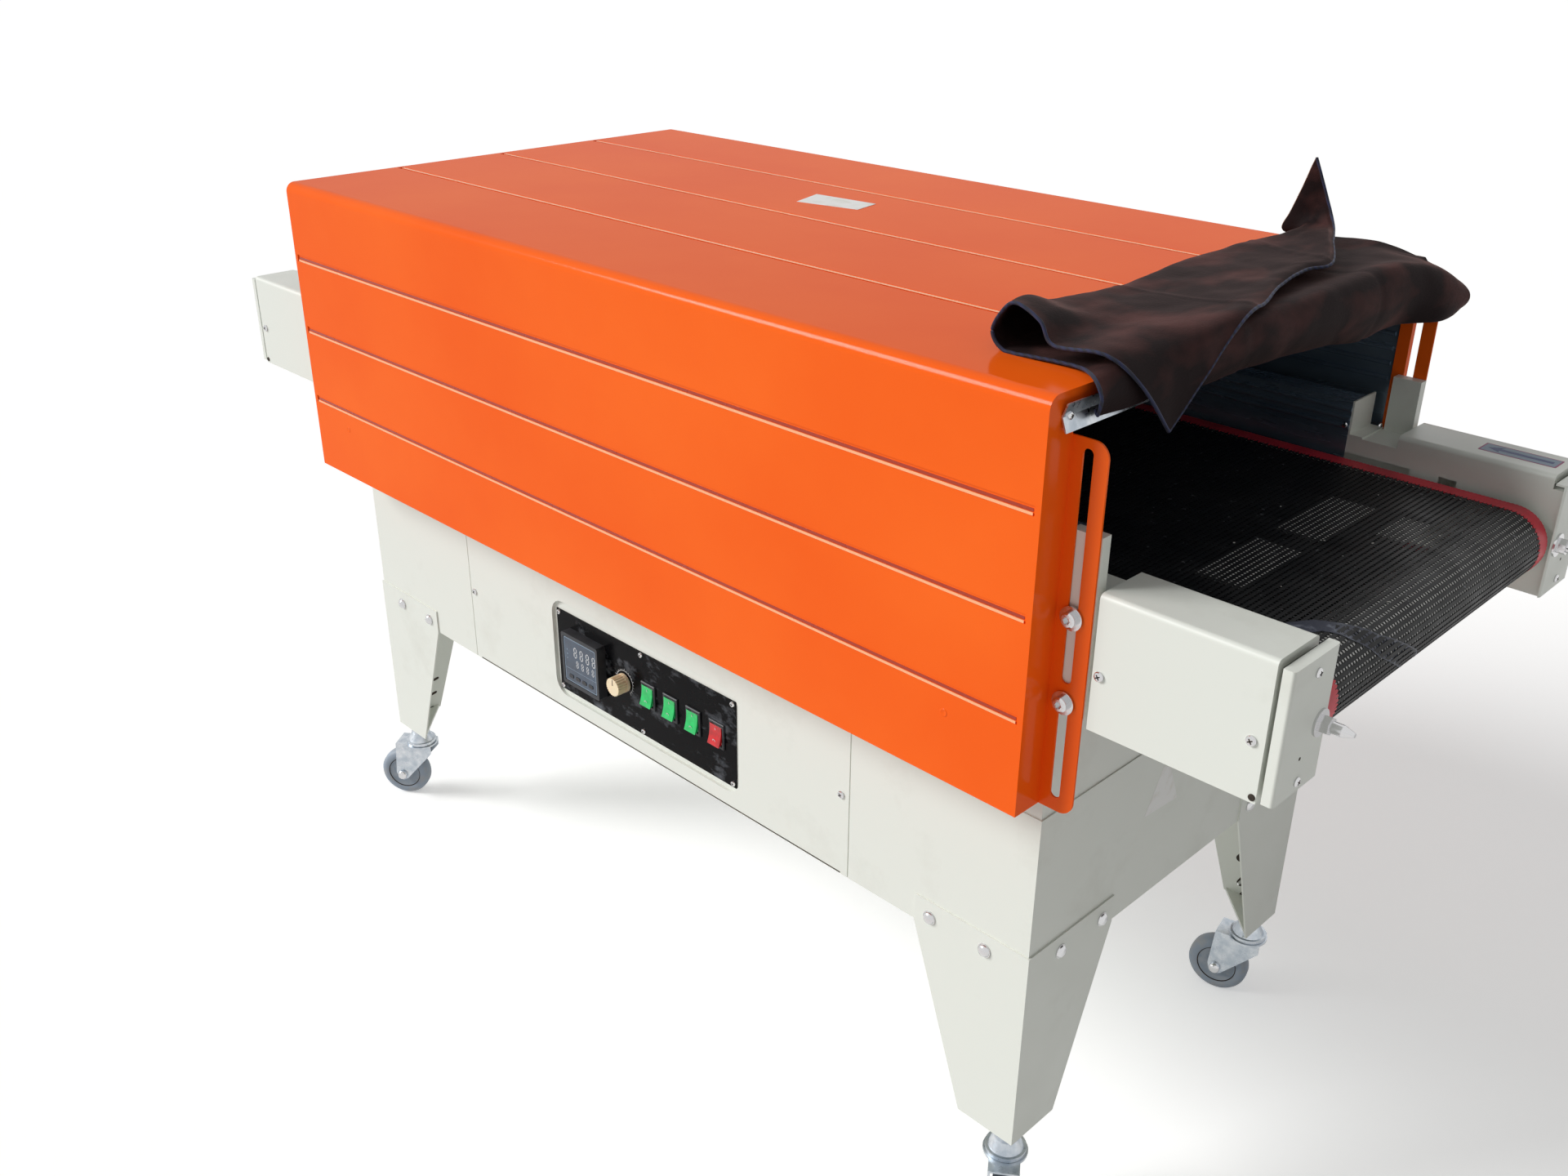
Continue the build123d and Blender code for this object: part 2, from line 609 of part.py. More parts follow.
def caster_wheel(name):
    """A grey tyre on a lighter hub that runs on the axle."""
    half = WHEEL_WIDTH / 2
    wheel = rod_y(CASTER_OFFSET, -half, half, WHEEL_RADIUS, WHEEL_RADIUS)
    wheel = chamfer(wheel.edges().filter_by(GeomType.CIRCLE), TREAD_BEVEL)
    for side in (-1, 1):
        dish = rod_y(CASTER_OFFSET, side * (half - HUB_DISH), side * (half + 1), WHEEL_RADIUS, HUB_RADIUS)
        wheel = wheel - dish
    reach = FORK_INNER_WIDTH / 2 - SLIDE_GAP
    boss = rod_y(CASTER_OFFSET, -reach, reach, WHEEL_RADIUS, AXLE_HEAD_RADIUS + 1)
    bore = rod_y(CASTER_OFFSET, -FORK_INNER_WIDTH, FORK_INNER_WIDTH, WHEEL_RADIUS,
                 AXLE_RADIUS + STEM_BORE_GAP)
    return to_caster(name, wheel + boss - bore)


def belt():
    """One closed loop round both rollers."""
    outer = Pos(0, ROLLER_Z) * SlotCenterToCenter(2 * ROLLER_X, 2 * BELT_RADIUS)
    inner = Pos(0, ROLLER_Z) * SlotCenterToCenter(2 * ROLLER_X, 2 * ROLLER_RADIUS)
    return extrude(Plane.XZ * (outer - inner), BELT_HALF, both=True)


def roller(end_x):
    """A belt roller with its shaft, which seats in the two bearing plates."""
    x = end_x * ROLLER_X
    drum = rod_y(x, -BELT_HALF - 2, BELT_HALF + 2, ROLLER_Z, ROLLER_RADIUS)
    reach = RAIL_INNER + BEARING_SHEET + SHAFT_STUB
    shaft = rod_y(x, -reach, reach, ROLLER_Z, ROLLER_SHAFT_RADIUS)
    return drum + shaft


def rail():
    """A long folded rail on the front side, with its lip, posts and bearing plates."""
    web = block(-RAIL_REACH, RAIL_REACH, -RAIL_OUTER, -RAIL_OUTER + RAIL_SHEET, DECK_TOP, RAIL_TOP)
    top = block(-RAIL_REACH, RAIL_REACH, -RAIL_OUTER, -RAIL_INNER, RAIL_TOP - RAIL_SHEET, RAIL_TOP)
    lip = block(-RAIL_REACH, RAIL_REACH, -RAIL_INNER - RAIL_SHEET, -RAIL_INNER,
                RAIL_TOP - RAIL_LIP, RAIL_TOP)
    foot = block(-RAIL_REACH, RAIL_REACH, -RAIL_OUTER, -RAIL_OUTER + RAIL_FOOT, DECK_TOP,
                 DECK_TOP + RAIL_SHEET)
    return web + top + lip + foot


def post(side_y, end_x):
    """A folded post on the rail that an ear is clamped to."""
    low = DECK_TOP + POST_LIFT
    high = RAIL_TOP + POST_RISE
    body = block(POST_START, POST_START + POST_LENGTH, -POST_FACE, -RAIL_OUTER, low, high)
    back = block(POST_START, POST_START + POST_LENGTH, -RAIL_OUTER, -RAIL_OUTER + RAIL_SHEET,
                 RAIL_TOP, high)
    body = body + back
    if end_x < 0:
        body = mirror_x(body)
    return mirror_y(body) if side_y > 0 else body


def bearing_plates():
    """Notched plates at the four rail ends that hold the roller shafts."""
    start = RAIL_REACH - BEARING_LENGTH
    inner = RAIL_INNER
    plate_top = RAIL_TOP - RAIL_LIP
    plate = block(start, RAIL_REACH, -inner - BEARING_SHEET, -inner, DECK_TOP, plate_top)
    notch = block(RAIL_REACH - NOTCH_START, RAIL_REACH - NOTCH_END, -inner - BEARING_SHEET - 1, -inner + 1,
                  plate_top - NOTCH_DEPTH, plate_top + 1)
    hole = rod_y(ROLLER_X, -inner - 2 * BEARING_SHEET, -inner + BEARING_SHEET, ROLLER_Z, ROLLER_SHAFT_RADIUS)
    plate = plate - notch - hole
    quarter = [plate, mirror_y(plate)]
    return Compound(children=quarter + [mirror_x(p) for p in quarter])


def drive_cover(side_y, end_x):
    """The box lid over one rail end, with a long outer skirt and a short inner lip."""
    outer = block(COVER_START, COVER_END, -COVER_OUTER, -COVER_INNER, DECK_TOP, COVER_TOP)
    outer = fillet(outer.edges().filter_by(Axis.X).group_by(Axis.Z)[-1], COVER_CORNER)
    sheet = COVER_SHEET
    inner = block(COVER_START - 1, COVER_END + 1, -COVER_OUTER + sheet, -COVER_INNER - sheet,
                  DECK_TOP - 1, COVER_TOP - sheet)
    under = block(COVER_START - 1, COVER_END + 1, -RAIL_OUTER, -COVER_INNER + 1, DECK_TOP - 1, RAIL_TOP)
    shell = outer - inner - under
    ring = outer - block(COVER_START - 1, COVER_END + 1, -COVER_OUTER + COVER_RETURN,
                         -COVER_INNER + 1, DECK_TOP - 1, COVER_TOP - COVER_RETURN) - under
    ends = (ring & block(COVER_END - sheet, COVER_END, -COVER_OUTER, -COVER_INNER, DECK_TOP, COVER_TOP))
    starts = (ring & block(COVER_START, COVER_START + sheet, -COVER_OUTER, -COVER_INNER, DECK_TOP,
                           COVER_TOP))
    cover = shell + ends + starts
    if end_x < 0:
        cover = mirror_x(cover)
    return mirror_y(cover) if side_y > 0 else cover


def end_plate(side_y, end_x):
    """A plate that closes a rail end, folded over at its top and its outer side."""
    x1 = RAIL_REACH + END_PLATE_SHEET
    x0 = x1 - END_PLATE_FLANGE
    y_outer = -RAIL_OUTER - END_PLATE_SPREAD
    y_inner = -BELT_HALF - END_PLATE_GAP
    low = DECK_TOP + END_PLATE_LIFT
    high = RAIL_TOP + END_PLATE_RISE
    outer = block(x0, x1, y_outer, y_inner, low, high)
    outer = fillet(outer.edges().filter_by(Axis.Z).group_by(Axis.X)[-1], END_PLATE_BEND)
    sheet = END_PLATE_SHEET
    inner = block(x0 - 1, x1 - sheet, y_outer + sheet, y_inner + 1, low - 1, high - sheet)
    plate = outer - inner
    if end_x < 0:
        plate = mirror_x(plate)
    return mirror_y(plate) if side_y > 0 else plate


def tensioners():
    """Take-up screws at the infeed end: ring, nut and a pointed stud."""
    x0 = RAIL_REACH + END_PLATE_SHEET
    y = -RAIL_INNER - TENSIONER_INSET
    face = x0 + 2
    ring = rod_x(x0, face, y, ROLLER_Z, TENSIONER_RING)
    nut = extrude(Pos(face, y, ROLLER_Z) * Rot(0, 90, 0) * RegularPolygon(TENSIONER_NUT, 6), TENSIONER_NUT)
    taper = (TENSIONER_REACH - 2 - TENSIONER_NUT) / 2
    tip = x0 + TENSIONER_REACH
    stud = rod_x(face, tip - taper, y, ROLLER_Z, TENSIONER_STUD)
    point = Pos(tip - taper / 2, y, ROLLER_Z) * Rot(0, 90, 0) * Cone(TENSIONER_STUD, 2, taper)
    screw = ring + nut + stud + point
    return Compound(children=[screw, mirror_y(screw)])


def heat_shield(side_y):
    """A folded reflector along the belt, from the deck to above the belt."""
    height = SHIELD_TOP - RAIL_TOP
    out = block(-SHIELD_REACH, SHIELD_REACH, -RAIL_INNER - SHIELD_SHEET, -RAIL_INNER, RAIL_TOP, SHIELD_TOP)
    for k in range(SHIELD_FOLDS):
        z = RAIL_TOP + height * (k + 1) / (SHIELD_FOLDS + 1)
        fold = rod_x(-SHIELD_REACH, SHIELD_REACH, -RAIL_INNER, z, SHIELD_FOLD / 2)
        out = out + fold
    cap = block(-SHIELD_REACH, SHIELD_REACH, -RAIL_INNER - SHIELD_CAP, -RAIL_INNER,
                SHIELD_TOP - SHIELD_SHEET, SHIELD_TOP)
    out = out + cap
    return mirror_y(out) if side_y > 0 else out


def shield_brackets():
    """Angle brackets on the rails that close the ends of the heat shields."""
    x0 = SHIELD_REACH
    y_outer = -RAIL_INNER - BRACKET_WIDTH
    face = block(x0, x0 + BRACKET_SHEET, y_outer, -RAIL_INNER, RAIL_TOP, SHIELD_TOP)
    foot = block(x0, x0 + BRACKET_FOOT, y_outer, -RAIL_INNER, RAIL_TOP, RAIL_TOP + BRACKET_SHEET)
    bracket = face + foot
    quarter = [bracket, mirror_y(bracket)]
    return Compound(children=quarter + [mirror_x(b) for b in quarter])


def clamp_strip(end_x):
    """The bent zinc strip that clamps the curtain along the hood's end."""
    half = HOOD_FACE - STRIP_INSET
    low = STRIP_TOP - STRIP_HEIGHT
    middle = STRIP_TOP - STRIP_HEIGHT / 2
    x = HOOD_HALF
    outer = x + STRIP_BEND
    section = Polyline((x + STRIP_BEND - STRIP_SHEET, STRIP_TOP), (outer, STRIP_TOP), (x + STRIP_SHEET, middle),
                       (outer, low), (outer - STRIP_SHEET, low), (x, middle), close=True)
    strip = extrude(Plane.XZ * make_face(section), half, both=True)
    return strip if end_x > 0 else mirror_x(strip)


def curtain():
    """The closed outer shape of the curtain, which is thrown back over the hood's end."""
    face = HOOD_HALF + STRIP_BEND + CURTAIN_GAP
    low = HOOD_TOP + CURTAIN_GAP
    high = low + CURTAIN_PAD
    back = HOOD_HALF - CURTAIN_ON_TOP
    bulge = face + CURTAIN_BULGE
    hem = HOOD_TOP - CURTAIN_DROP
    front = -HOOD_FACE + CURTAIN_FRONT_INSET
    rear_y = HOOD_FACE + CURTAIN_REAR_REACH
    tip_y = -HOOD_FACE + CURTAIN_TIP_INSET
    points = [(back, low), (face, low), (face, hem), (bulge - 6, hem), (bulge, (hem + low) / 2),
              (bulge - 6, low), (HOOD_HALF, high + 4), (back + 8, high)]
    pad = extrude(Plane.XZ * make_face(Polyline(*points, close=True)), rear_y - front)
    pad = Pos(0, front - pad.bounding_box().min.Y, 0) * pad
    roll_x = back + CURTAIN_ROLL
    roll = rod_y(roll_x, front, front + CURTAIN_ROLL_LENGTH, low + CURTAIN_ROLL, CURTAIN_ROLL)
    tip = [(tip_y - CURTAIN_TIP_HALF, low), (tip_y + CURTAIN_TIP_HALF, low),
           (tip_y, HOOD_TOP - CURTAIN_TIP_DROP)]
    corner = Pos(face, 0, 0) * extrude(Plane.YZ * make_face(Polyline(*tip, close=True)), CURTAIN_BULGE - 6)
    reach = bulge + CURTAIN_OVERHANG
    rear = [(face, rear_y - CURTAIN_END), (bulge, rear_y - CURTAIN_END), (reach, rear_y + CURTAIN_OVERHANG),
            (face, rear_y + CURTAIN_OVERHANG)]
    rear_end = extrude(Pos(0, 0, hem) * make_face(Polyline(*rear, close=True)), CURTAIN_DROP)
    base_z = high - 4
    left = Vector(HOOD_HALF - FLAP_BACK, HOOD_FACE - FLAP_INSET, base_z)
    right = left + Vector(FLAP_WIDTH[0], FLAP_WIDTH[1], 0)
    apex = (left + right) / 2 + Vector(0, 0, FLAP_HEIGHT)
    flap = extrude(make_face(Polyline(left, right, apex, close=True)), FLAP_THICKNESS)
    return pad + roll + corner + rear_end + flap


def main():
    write(hood_shell(), "hood_shell")
    write(hood_liner(), "hood_liner")
    write(clamp_strip(1), "clamp_strip_right")
    write(clamp_strip(-1), "clamp_strip_left")
    write(curtain(), "curtain")
    write(clamp_bolts(), "clamp_bolts")
    write(cabinet(), "base_cabinet")
    write(tunnel_box(), "tunnel_box")
    write(access_panel(), "access_panel")
    write(control_plate(), "control_plate")
    write(controller(), "temperature_controller")
    write(speed_knob(), "speed_knob")
    write(knob_shaft(), "knob_shaft")
    write(rocker_housings(), "rocker_housings")
    for k in range(ROCKER_COUNT):
        write(rocker_key(k), "rocker_" + str(k + 1))
    for row, side_y in (("front", -1), ("rear", 1)):
        for column, end_x in (("left", -1), ("right", 1)):
            name = row + "_" + column
            write(leg(side_y, end_x), "leg_" + name)
            write(caster_stem(name), "caster_stem_" + name)
            write(caster_fork(name), "caster_fork_" + name)
            write(caster_wheel(name), "caster_wheel_" + name)
            write(drive_cover(side_y, end_x), "rail_cover_" + name)
            write(end_plate(side_y, end_x), "end_plate_" + name)
    write(rail(), "rail_front")
    write(mirror_y(rail()), "rail_rear")
    posts = [post(sy, ex) for sy in (-1, 1) for ex in (-1, 1)]
    write(Compound(children=posts), "ear_posts")
    write(bearing_plates(), "bearing_plates")
    write(belt(), "belt")
    write(roller(1), "roller_right")
    write(roller(-1), "roller_left")
    write(tensioners(), "tensioners")
    write(heat_shield(-1), "heat_shield_front")
    write(heat_shield(1), "heat_shield_rear")
    write(shield_brackets(), "shield_brackets")


main()
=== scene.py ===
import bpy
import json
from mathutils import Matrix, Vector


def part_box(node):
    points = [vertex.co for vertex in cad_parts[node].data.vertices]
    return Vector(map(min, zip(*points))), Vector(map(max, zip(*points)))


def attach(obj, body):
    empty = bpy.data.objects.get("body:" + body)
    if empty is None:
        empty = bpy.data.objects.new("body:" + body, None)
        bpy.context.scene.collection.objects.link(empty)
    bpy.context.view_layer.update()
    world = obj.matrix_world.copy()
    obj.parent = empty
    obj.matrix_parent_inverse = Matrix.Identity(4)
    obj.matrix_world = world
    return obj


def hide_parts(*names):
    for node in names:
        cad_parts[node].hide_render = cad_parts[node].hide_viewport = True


bl_info = {
    "name": "Infrared tunnel dryer",
    "version": (1, 0, 0),
    "blender": (4, 5, 0),
    "location": "View3D > Sidebar > Dryer",
    "description": "Dresses an infrared tunnel dryer: painted hood, mesh belt, controls, curtain and casters",
    "category": "Object",
}

import json
import math
import random

import bmesh
import bpy
from mathutils import Matrix, Vector, noise

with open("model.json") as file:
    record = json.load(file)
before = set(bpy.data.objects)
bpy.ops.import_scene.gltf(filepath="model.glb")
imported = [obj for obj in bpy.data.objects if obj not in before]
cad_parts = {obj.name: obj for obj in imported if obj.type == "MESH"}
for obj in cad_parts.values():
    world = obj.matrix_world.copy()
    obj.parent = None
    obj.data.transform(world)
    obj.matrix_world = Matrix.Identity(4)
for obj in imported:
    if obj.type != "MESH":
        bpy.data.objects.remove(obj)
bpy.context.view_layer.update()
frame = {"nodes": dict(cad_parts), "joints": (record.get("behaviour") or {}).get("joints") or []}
NODES = frame["nodes"]
MM = 0.001



# Colours

def linear(hex_colour):
    """An sRGB hex colour as linear red, green, blue and alpha."""
    values = []
    for start in (1, 3, 5):
        share = int(hex_colour[start:start + 2], 16) / 255
        values.append(share / 12.92 if share <= 0.04045 else ((share + 0.055) / 1.055) ** 2.4)
    return (*values, 1.0)


def colour_of(name):
    """A colour given as sRGB hex, or the user's own colour of that name."""
    return linear(name if name.startswith("#") else getattr(bpy.context.scene.dryer_colours, name))


# Nodes

def add(tree, kind, inputs=None, **settings):
    """Adds one node. An input takes a value, or another node's output as a link."""
    node = tree.nodes.new(kind)
    for name, value in settings.items():
        setattr(node, name, value)
    for name, value in (inputs or {}).items():
        socket = node.inputs[name]
        if isinstance(value, bpy.types.NodeSocket):
            tree.links.new(value, socket)
        else:
            socket.default_value = value
    return node


def new_material(name, inputs):
    """A material with one Principled shader. Returns the material, its tree and the shader."""
    material = bpy.data.materials.new(name)
    material.use_nodes = True
    tree = material.node_tree
    tree.nodes.clear()
    shader = add(tree, "ShaderNodeBsdfPrincipled", inputs)
    output = add(tree, "ShaderNodeOutputMaterial")
    tree.links.new(shader.outputs[0], output.inputs["Surface"])
    return material, tree, shader


def place_of(tree):
    """The place on the part, in metres."""
    return add(tree, "ShaderNodeTexCoord").outputs["Object"]


def grain(tree, size_mm, detail, stretch=(1, 1, 1), roughness=0.5):
    """A noise whose grains are about size_mm across."""
    mapping = add(tree, "ShaderNodeMapping", {"Vector": place_of(tree), "Scale": stretch})
    settings = {"Vector": mapping.outputs[0], "Scale": 1 / (size_mm * MM), "Detail": detail,
                "Roughness": roughness}
    return add(tree, "ShaderNodeTexNoise", settings).outputs["Fac"]


def ramp(tree, value, low, high, low_out, high_out):
    """A value between two limits, spread over another range."""
    settings = {"Value": value, "From Min": low, "From Max": high, "To Min": low_out, "To Max": high_out}
    return add(tree, "ShaderNodeMapRange", settings).outputs["Result"]


def paint(tree, shader, factor, first, second):
    """Gives the shader two colours, mixed by a factor."""
    mix = add(tree, "ShaderNodeMix", data_type="RGBA")
    tree.links.new(factor, mix.inputs[0])
    colours = [socket for socket in mix.inputs if socket.type == "RGBA"]
    for socket, name in zip(colours, (first, second)):
        socket.default_value = colour_of(name)
    mixed = [socket for socket in mix.outputs if socket.type == "RGBA"][0]
    tree.links.new(mixed, shader.inputs["Base Color"])


def bump(tree, shader, height, depth_mm, strength):
    """Gives the shader a bump from a height of that many millimetres."""
    node = add(tree, "ShaderNodeBump", {"Height": height, "Distance": depth_mm * MM, "Strength": strength})
    tree.links.new(node.outputs[0], shader.inputs["Normal"])


# Layers of a material: each returns what adds it to a shader

def tones(size_mm, detail, first, second, low=0.35, high=0.7, share=1.0, **noise_settings):
    """Two colours in patches of that size. The second one takes up to that share."""
    def layer(tree, shader):
        factor = ramp(tree, grain(tree, size_mm, detail, **noise_settings), low, high, 0, share)
        paint(tree, shader, factor, first, second)
    return layer


def gloss(size_mm, detail, smooth, rough, low=0.3, high=0.7, **noise_settings):
    """A roughness that wanders between two values."""
    def layer(tree, shader):
        height = grain(tree, size_mm, detail, **noise_settings)
        tree.links.new(ramp(tree, height, low, high, smooth, rough), shader.inputs["Roughness"])
    return layer


def relief(size_mm, detail, depth_mm, strength, **noise_settings):
    """Small bumps of that size and depth."""
    def layer(tree, shader):
        bump(tree, shader, grain(tree, size_mm, detail, **noise_settings), depth_mm, strength)
    return layer


def stitches(pitch_mm, first, second, depth_mm, strength):
    """Slanted stitches, that far apart along an axis."""
    def layer(tree, shader):
        # A diagonal wave of scale 1 turns by ten radians over a metre.
        scale = 2 * math.pi / (10 * pitch_mm * MM)
        wave = add(tree, "ShaderNodeTexWave", {"Vector": place_of(tree), "Scale": scale},
                   bands_direction="DIAGONAL").outputs["Fac"]
        paint(tree, shader, wave, first, second)
        bump(tree, shader, wave, depth_mm, strength)
    return layer


# Materials that come in several colours

def fold_paint(name, colour):
    """The orange coat in a fold, with its tone changed to paint light in: paler for a painted highlight,
    darker for painted shade. The same gloss, another tone.
    """
    inputs = {"Base Color": linear(colour), "IOR": 1.5}
    return f"Powder coat, orange, {name}", inputs, gloss(60, 5, 0.2, 0.35)


def screen_ink(name, colour):
    """Screen-printed ink: flat, and broken a little by its grain."""
    return f"Screen ink, {name}", {"Roughness": 0.55}, tones(1.5, 4, colour, "#6E7074", 0.62, 0.8, 0.35)


def lit_key(name, bright, deep):
    """Dyed polycarbonate: saturated, with light gathered inside the moulding."""
    inputs = {"Roughness": 0.35, "IOR": 1.58, "Subsurface Weight": 0.3, "Subsurface Scale": 0.003,
              "Transmission Weight": 0.12}
    return f"Polycarbonate, {name}, dyed", inputs, tones(9, 3, bright, deep)


# Each short name gives the material's name, the shader's own values, and its layers.
MATERIALS = {
    # Polyester powder coat, sprayed and baked: a glossy skin with a slight orange peel.
    "orange": ("Powder coat, orange, gloss",
               {"IOR": 1.5, "Specular IOR Level": 0.0, "Coat Weight": 0.25, "Coat Roughness": 0.14,
                "Coat IOR": 1.5},
               tones(260, 4, "hood_shade", "hood"), gloss(160, 4, 0.22, 0.34, stretch=(0.3, 1, 1)),
               relief(3.5, 1, 0.035, 0.5)),
    # Painted highlight on the grooves' lit flanks and crests, and painted shade in their roots.
    "lip": fold_paint("painted highlight on a fold", "#FFB684"),
    "root": fold_paint("painted shade in a groove", "#A8300A"),
    # Polyester powder coat with a fine texture: satin, with faint scuffs and hand marks.
    "cream": ("Powder coat, cream, fine texture", {"IOR": 1.5},
              tones(120, 6, "base", "#D2D3C9", 0.55, 0.75, 0.5, roughness=0.65), gloss(45, 5, 0.34, 0.5),
              relief(1.8, 2, 0.05, 0.35)),
    # Bright rolled stainless steel, darkened by heat: it mirrors softly along its length.
    "liner": ("Stainless steel, bright rolled, heat darkened", {"Metallic": 0.6},
              tones(70, 6, "#66788A", "#93A5B4", stretch=(0.3, 1, 1)),
              gloss(30, 5, 0.16, 0.34, stretch=(0.1, 1, 1)), relief(45, 2, 0.6, 0.35, stretch=(0.25, 1, 1))),
    # Pressed steel, zinc plated: pale blue-grey with a cloudy passivated bloom.
    "zinc": ("Steel, zinc plated", {"Metallic": 1.0}, tones(12, 5, "#AEB7C0", "#D2D6DA"),
             gloss(4, 4, 0.24, 0.42)),
    # Nickel-plated screws and ground shafts: a bright mirror with handling marks.
    "bright": ("Steel, nickel plated", {"Base Color": linear("#CFCFD0"), "Metallic": 1.0},
               gloss(2.5, 4, 0.1, 0.26)),
    # Aluminium with a dull oxide skin: pale, and bright enough to show through the mesh. On the bed under the
    # belt it makes pale patches of painted light.
    "pale_metal_and_painted_light": ("Aluminium, oxidised", {"Base Color": linear("#F0F0EC"), "Metallic": 0.3},
             gloss(25, 5, 0.4, 0.6, 0.35)),
    # Glass-fibre mesh coated in PTFE: slick black strands with specks of lint.
    "mesh": ("PTFE on glass fibre, black", {"IOR": 1.38, "Specular IOR Level": 0.3},
             tones(6, 3, "#0B0C0E", "#6A6C70", 0.68, 0.76), gloss(40, 4, 0.35, 0.55)),
    # PTFE film welded on the belt's edges: satin red with the mesh pressed through it.
    "edge": ("PTFE film, red, welded", {"Roughness": 0.38, "IOR": 1.38},
             tones(35, 5, "#D83444", "#B42A3A", 0.45, 0.75), relief(2.5, 2, 0.15, 0.5)),
    # The heat-sealed film over the belt's joint: dull blue-black with rubbed edges.
    "splice": ("PTFE film, blue-black, heat sealed", {"Roughness": 0.4, "IOR": 1.38},
               tones(10, 6, "#2B3040", "#7A808E", 0.55, 0.75), relief(5, 2, 0.3, 0.5)),
    # Cotton velveteen: a dark cut pile that lights up brown where it turns away. The brown patches in its
    # colour are painted sheen.
    "velvet": ("Cotton velveteen, brown-black",
               {"Roughness": 0.8, "Sheen Weight": 0.32, "Sheen Roughness": 0.25,
                "Sheen Tint": linear("#A87870"), "Specular IOR Level": 0.15},
               tones(55, 3, "#120708", "#4A2E2C", 0.52, 0.72, stretch=(1, 0.6, 1)),
               relief(1.6, 3, 0.5, 0.6, stretch=(1, 0.35, 1))),
    # Polyester overlock thread: navy, with slanted stitches, drawn coarser than real ones so that they show.
    "thread": ("Polyester thread, navy, overlocked", {"Roughness": 0.8, "Sheen Weight": 0.05},
               stitches(9, "#0A0E20", "#1B2244", 0.6, 0.6)),
    # The curtain's woven edge: bare cotton, tan and dry.
    "selvedge": ("Cotton selvedge, tan", {"Roughness": 0.9, "Sheen Weight": 0.2},
                 tones(3, 3, "#6E5344", "#A08670")),
    # Black acrylic-coated plate: mirror gloss under grey smears and wiped dust.
    "acrylic": ("Acrylic film, black, gloss", {"IOR": 1.49, "Specular IOR Level": 0.05},
                tones(38, 6, "#0A0A0C", "#6A6E74", 0.54, stretch=(0.6, 1, 1), roughness=0.62),
                gloss(20, 5, 0.1, 0.35, 0.35)),
    # ABS, injection moulded with a spark-eroded grain: matt charcoal.
    "abs": ("ABS, black, moulded", {"Roughness": 0.5, "IOR": 1.53}, tones(15, 4, "#17191D", "#26292E"),
            relief(0.6, 2, 0.03, 0.4)),
    # Tinted polycarbonate over the display: slate blue, glossy, with a faint haze.
    "window": ("Polycarbonate, slate tint, polished", {"Roughness": 0.18, "IOR": 1.58},
               tones(22, 5, "#2A3A4C", "#3B4E63", high=0.75)),
    "white_ink": screen_ink("white", "#C9CCCE"),
    "grey_ink": screen_ink("slate grey", "#7E8FA0"),
    "blue_ink": screen_ink("dark blue", "#22305C"),
    "mauve_ink": screen_ink("mauve", "#8A3A62"),
    # Urea-formaldehyde, compression moulded: ivory, hard and softly glossy, grimy where fingers turn it.
    "urea": ("Urea-formaldehyde, ivory, moulded",
             {"Roughness": 0.3, "IOR": 1.55, "Subsurface Weight": 0.15, "Subsurface Scale": 0.002},
             tones(5, 4, "#F2E0BC", "#C4A87C", 0.55, 0.8, 0.5)),
    "green": lit_key("green", "#08D870", "#04B85C"),
    "red": lit_key("red", "#E00C18", "#B00612"),
    # Thermoplastic rubber tyre: blue-grey, matt, with street dust in its grain.
    "tyre": ("Thermoplastic rubber, blue-grey", {"Roughness": 0.55, "IOR": 1.5},
             tones(14, 6, "#98A4B2", "#A8A8A8", 0.45, 0.75), relief(1.2, 3, 0.06, 0.5)),
    # Polypropylene wheel core: pale blue-grey and smooth from the mould.
    "core": ("Polypropylene, pale grey, moulded", {"Roughness": 0.4, "IOR": 1.49},
             tones(10, 5, "#8B98A6", "#A5AAB0", 0.4, 0.75)),
    # The sheet under the belt: mild steel, dark as painted shade for the space beneath the belt.
    "bed": ("Mild steel, dark as painted shade", {"Roughness": 0.6, "IOR": 1.5}, tones(50, 5, "#121316", "#26282C")),
    # Flat brown-black: dirt that gathers in open seams, and painted shade in screw recesses, slots and holes.
    "gap": ("Seam dirt and painted shade, brown-black", {"Roughness": 0.9}, tones(20, 5, "#1F1915", "#4A3E33")),
    # Coated label paper: white and smooth, yellowed in patches.
    "paper": ("Paper label, coated, white", {"Roughness": 0.45, "IOR": 1.5},
              tones(18, 5, "#EFEFEC", "#D6D3C6", 0.5, 0.8), relief(12, 2, 0.2, 0.3)),
    # Ceramic fibre that has escaped from the hood's wall: a soft white tuft.
    "wool": ("Ceramic fibre, loose, white", {"Roughness": 1.0, "Sheen Weight": 0.5},
             tones(3, 4, "#D4D1C8", "#F2F1EC"), relief(2, 5, 1.2, 0.9)),
}
FINISHES = {}


def finish(key):
    """The material of that short name, made once."""
    if key not in FINISHES:
        name, inputs, *layers = MATERIALS[key]
        material, tree, shader = new_material(name, inputs)
        for layer in layers:
            layer(tree, shader)
        FINISHES[key] = material
    return FINISHES[key]


# Shapes in millimetres

